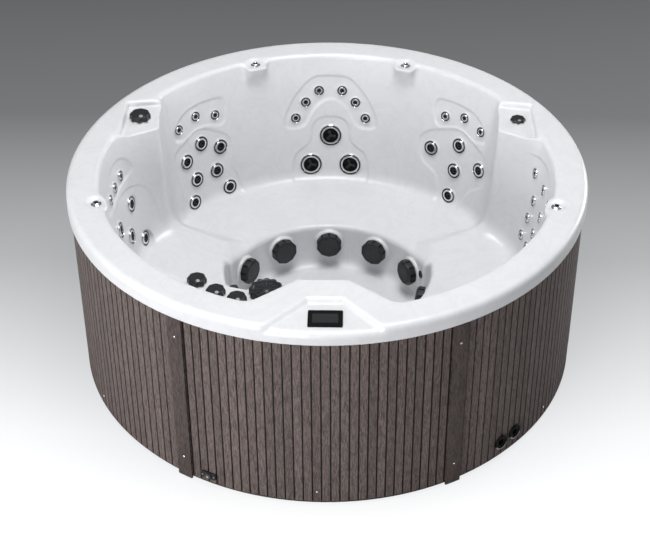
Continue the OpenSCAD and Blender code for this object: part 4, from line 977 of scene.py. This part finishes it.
def make_screws():
    head = turned([(4.8, -0.02), (5.2, 0.3), (5.1, 1.0), (4.2, 1.7), (2.0, 1.9), (1.6, 1.2), (0.1, 1.1)], 24)
    shank = turned([(1.8, -10), (2.0, -9), (2.0, 0.2)], 16)
    clear = 0.05
    parts = []
    for k in range(6):
        joint = JOINT_BEARING + 60 * k
        places = [on_skirt(joint, z, STRIP_T + clear) for z in STRIP_SCREW_Z]
        for at in places + [on_skirt(joint - 30, PANEL_SCREW_Z, clear)]:
            parts += placed([(head, POLISHED_STEEL), (shank, BRUSHED_STEEL)], at)
    piece("pan_head_screws", parts, "tub", ["panel_screws"])


def make_drain():
    at = on_skirt(DRAIN_BEARING, DRAIN_Z)
    plate = loft([box_ring(63, 31, 0.4, 5), box_ring(64, 32, 1.2, 5), box_ring(64, 32, 6.4, 5),
                  box_ring(61, 29, 8.2, 4.4), box_ring(30, 29, 8.2, 4.4)])
    pipe = turned([(13, -88), (13, 2)], 40)
    screw = turned([(3.4, 7.6), (3.6, 8.2), (3, 9.2), (0.2, 9.6)], 20)
    screws = [(moved(screw, slide(x)), POLISHED_STEEL) for x in (-25, 25)]
    piece("drain_plate", placed([(plate, BLACK_PLASTIC), (pipe, BLACK_PLASTIC)] + screws, at), "tub",
          ["drain_valve"])
    grip = [(13, 8.6), (14, 9.4), (14, 13.6), (12.6, 15.2), (9, 15.5)]
    cap = loft([cornered_ring(r, z, 8, 64) for r, z in grip] + [ring(7, 14.2, 64), ring(0.3, 14.0, 64)])
    plug = turned([(8.4, -12), (8.6, -11), (8.6, 8.8)], 32)
    eye = turned([(5.6, 15.0), (5.4, 16.0), (4.2, 16.4), (0.2, 16.2)], 32)
    piece("drain_plug", placed([(cap, CHARCOAL), (plug, CHARCOAL), (eye, SILVER_SPOT)], at), "drain_cap",
          ["drain_cap"])


def make_glands():
    """Open cable pass-throughs with a steel edge along the lower side; their deep black flange is partly own colour
    and partly painted shadow around them, and the plug inside is painted shade.
    """
    body = turned([(16.8, -29), (17, -28), (17, 0.2), (32, 0.4), (33, 1.6), (33, 5.2), (31.4, 8), (28, 9.2),
                   (20, 7.4), (13.4, 3), (12.2, -29)], 56, start=False, end=False)
    # Deep black plug across the bore: painted shade inside the skirt
    plug = turned([(12.3, -24), (12.3, -8), (6, -7), (0.3, -7)], 40)
    n, profile = 25, [(33.3, 2), (33.5, 5), (32, 8.5), (29.6, 9.9), (27, 9.6)]
    arc = np.linspace(math.radians(20), math.radians(160), n)
    points = np.array([(r * math.cos(t), r * math.sin(t), h) for r, h in profile for t in arc])
    faces = [(n * i + k, n * i + k + 1, n * i + n + k + 1, n * i + n + k)
             for i in range(len(profile) - 1) for k in range(n - 1)]
    parts = []
    for bearing, z in CABLE_HOLES:
        parts += placed([(body, DEEP_BLACK), ((points, faces), BRUSHED_STEEL), (plug, DEEP_BLACK)],
                        on_skirt(bearing, z))
    piece("cable_pass_throughs", parts, "tub", ["cable_glands"])


CAD_FINISHES = {
    "skirt_panels": BOARDS, "joint_strips": STRIP_BOARD, "base_pan": PAN_PLASTIC, "floor_support": FOAM,
    "lower_frame_ring": TIMBER, "upper_frame_ring": TIMBER, "frame_posts": TIMBER, "small_jet_bodies": PIPE_PLASTIC,
    "medium_jet_bodies": PIPE_PLASTIC, "large_jet_bodies": PIPE_PLASTIC, "suction_bodies": WHITE_PLASTIC,
    "valve_bodies": PIPE_PLASTIC, "filter_cartridge": PAPER, "massage_pumps": MOTOR_PAINT,
    "circulation_pump": MOTOR_PAINT, "heater_unit": BRUSHED_STEEL, "control_box": BOX_PAINT,
    "suction_pipes": PIPE_PLASTIC, "pressure_pipes": PIPE_PLASTIC,
}


def finish_cad_nodes():
    """Finishes for the CAD nodes that are shown as they are."""
    for name, material in CAD_FINISHES.items():
        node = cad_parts[name]
        node.data.materials.clear()
        node.data.materials.append(material)


# Stage, light and camera

def make_stage():
    """Pale floor that runs from white in front of the tub to grey behind it: a painted fall of light that the floor
    mostly glows with for the camera, with some real shading kept for the tub's shadow.
    """
    half, front_y, back_y, glow_share, glow_strength = 40.0, -1.6, 3.2, 0.72, 1.25
    mesh = bpy.data.meshes.new("studio_floor")
    mesh.from_pydata([(-half, -half, 0), (half, -half, 0), (half, half, 0), (-half, half, 0)], [], [(0, 1, 2, 3)])
    floor = bpy.data.objects.new("studio_floor", mesh)
    bpy.context.scene.collection.objects.link(floor)
    material = bpy.data.materials.new("studio_floor")
    material.use_nodes = True
    material.node_tree.nodes.clear()
    w = Wiring(material.node_tree)
    depth = w.add("ShaderNodeSeparateXYZ", {0: w.place()}).outputs[1]
    along = w.add("ShaderNodeMapRange", {0: depth, 1: front_y, 2: back_y}).outputs[0]
    # Painted fall of light, white in front and grey behind, used for both the glow and the lit share
    shade = w.ramp(along, [(0.0, (1, 1, 1)), (0.2, (0.8, 0.81, 0.82)), (0.45, (0.395, 0.402, 0.413)),
                           (0.72, (0.166, 0.168, 0.173)), (1.0, (0.121, 0.124, 0.13))])
    lit = w.add("ShaderNodeBsdfDiffuse", {0: shade})
    glow = w.add("ShaderNodeEmission", {0: shade, 1: glow_strength})
    seen = w.add("ShaderNodeMixShader", {0: glow_share, 1: lit.outputs[0], 2: glow.outputs[0]})
    pale = w.add("ShaderNodeBsdfDiffuse", {0: (0.55, 0.55, 0.56, 1)})
    is_seen = w.add("ShaderNodeLightPath").outputs["Is Camera Ray"]
    both = w.add("ShaderNodeMixShader", {0: is_seen, 1: pale.outputs[0], 2: seen.outputs[0]})
    w.add("ShaderNodeOutputMaterial", {0: both.outputs[0]})
    mesh.materials.append(material)


# Round area lights: name, place and aim in metres, diameter, power in watts
LIGHTS = [
    ("top_light", (0.1, -0.5, 4.8), (0, 0.2, 0.4), 2.6, 156),
    ("front_light", (-1.6, -5.0, 1.6), (-0.1, -0.9, 0.7), 2.0, 125),
    ("left_light", (-4.6, -2.0, 0.8), (-0.8, -0.4, 0.4), 2.2, 95),
    ("right_light", (4.2, 2.9, 1.8), (0.7, 0.3, 0.5), 2.2, 95),
]
AIR_STRENGTH = 0.36


def make_lights():
    """Soft studio air around the tub, with the area lights."""
    world = bpy.data.worlds.new("studio_air")
    bpy.context.scene.world = world
    world.use_nodes = True
    w = Wiring(world.node_tree)
    back = world.node_tree.nodes["Background"]
    up = w.add("ShaderNodeSeparateXYZ", {0: w.add("ShaderNodeTexCoord").outputs["Generated"]}).outputs[2]
    sky = w.ramp(w.add("ShaderNodeMapRange", {0: up, 1: -0.2, 2: 1.0}).outputs[0],
                 [(0.0, (0.5, 0.5, 0.51)), (0.35, (0.34, 0.345, 0.355)), (1.0, (0.95, 0.96, 0.98))])
    seen = w.add("ShaderNodeLightPath").outputs["Is Camera Ray"]
    w.tree.links.new(w.mix(seen, sky, (0.147, 0.15, 0.158, 1)), back.inputs[0])
    back.inputs[1].default_value = AIR_STRENGTH
    for name, place, aim, size, power in LIGHTS:
        light = bpy.data.lights.new(name, "AREA")
        light.shape = "DISK"
        light.size = size
        light.energy = power
        obj = bpy.data.objects.new(name, light)
        obj.location = place
        obj.rotation_euler = (Vector(aim) - Vector(place)).to_track_quat("-Z", "Y").to_euler()
        bpy.context.scene.collection.objects.link(obj)


# The photograph's viewpoint, found from the rim and skirt ellipses: place in metres, direction, roll in degrees
EYE, EYE_FORWARD, EYE_ROLL = (0.1113, -5.3565, 4.4042), (-0.01808, 0.79689, -0.60387), -0.324
LENS, SENSOR_W = 86.33, 36.0


def make_camera():
    camera = bpy.data.cameras.new("camera")
    camera.sensor_width = SENSOR_W
    camera.lens = LENS
    obj = bpy.data.objects.new("camera", camera)
    forward = Vector(EYE_FORWARD).normalized()
    level = forward.cross(Vector((0, 0, 1))).normalized()
    roll = math.radians(EYE_ROLL)
    right = level * math.cos(roll) + level.cross(forward) * math.sin(roll)
    up = right.cross(forward)
    obj.matrix_world = Matrix.Translation(EYE) @ Matrix((right, up, -forward)).transposed().to_4x4()
    bpy.context.scene.collection.objects.link(obj)
    bpy.context.scene.camera = obj


make_shell()
make_small_jets()
make_medium_jets()
make_large_jets()
make_suction_covers()
make_return()
make_fountains()
make_knobs()
make_filter_cap()
make_panel()
make_screws()
make_drain()
make_glands()
finish_cad_nodes()
make_stage()
make_lights()
make_camera()
bpy.context.scene.view_settings.view_transform = "Standard"
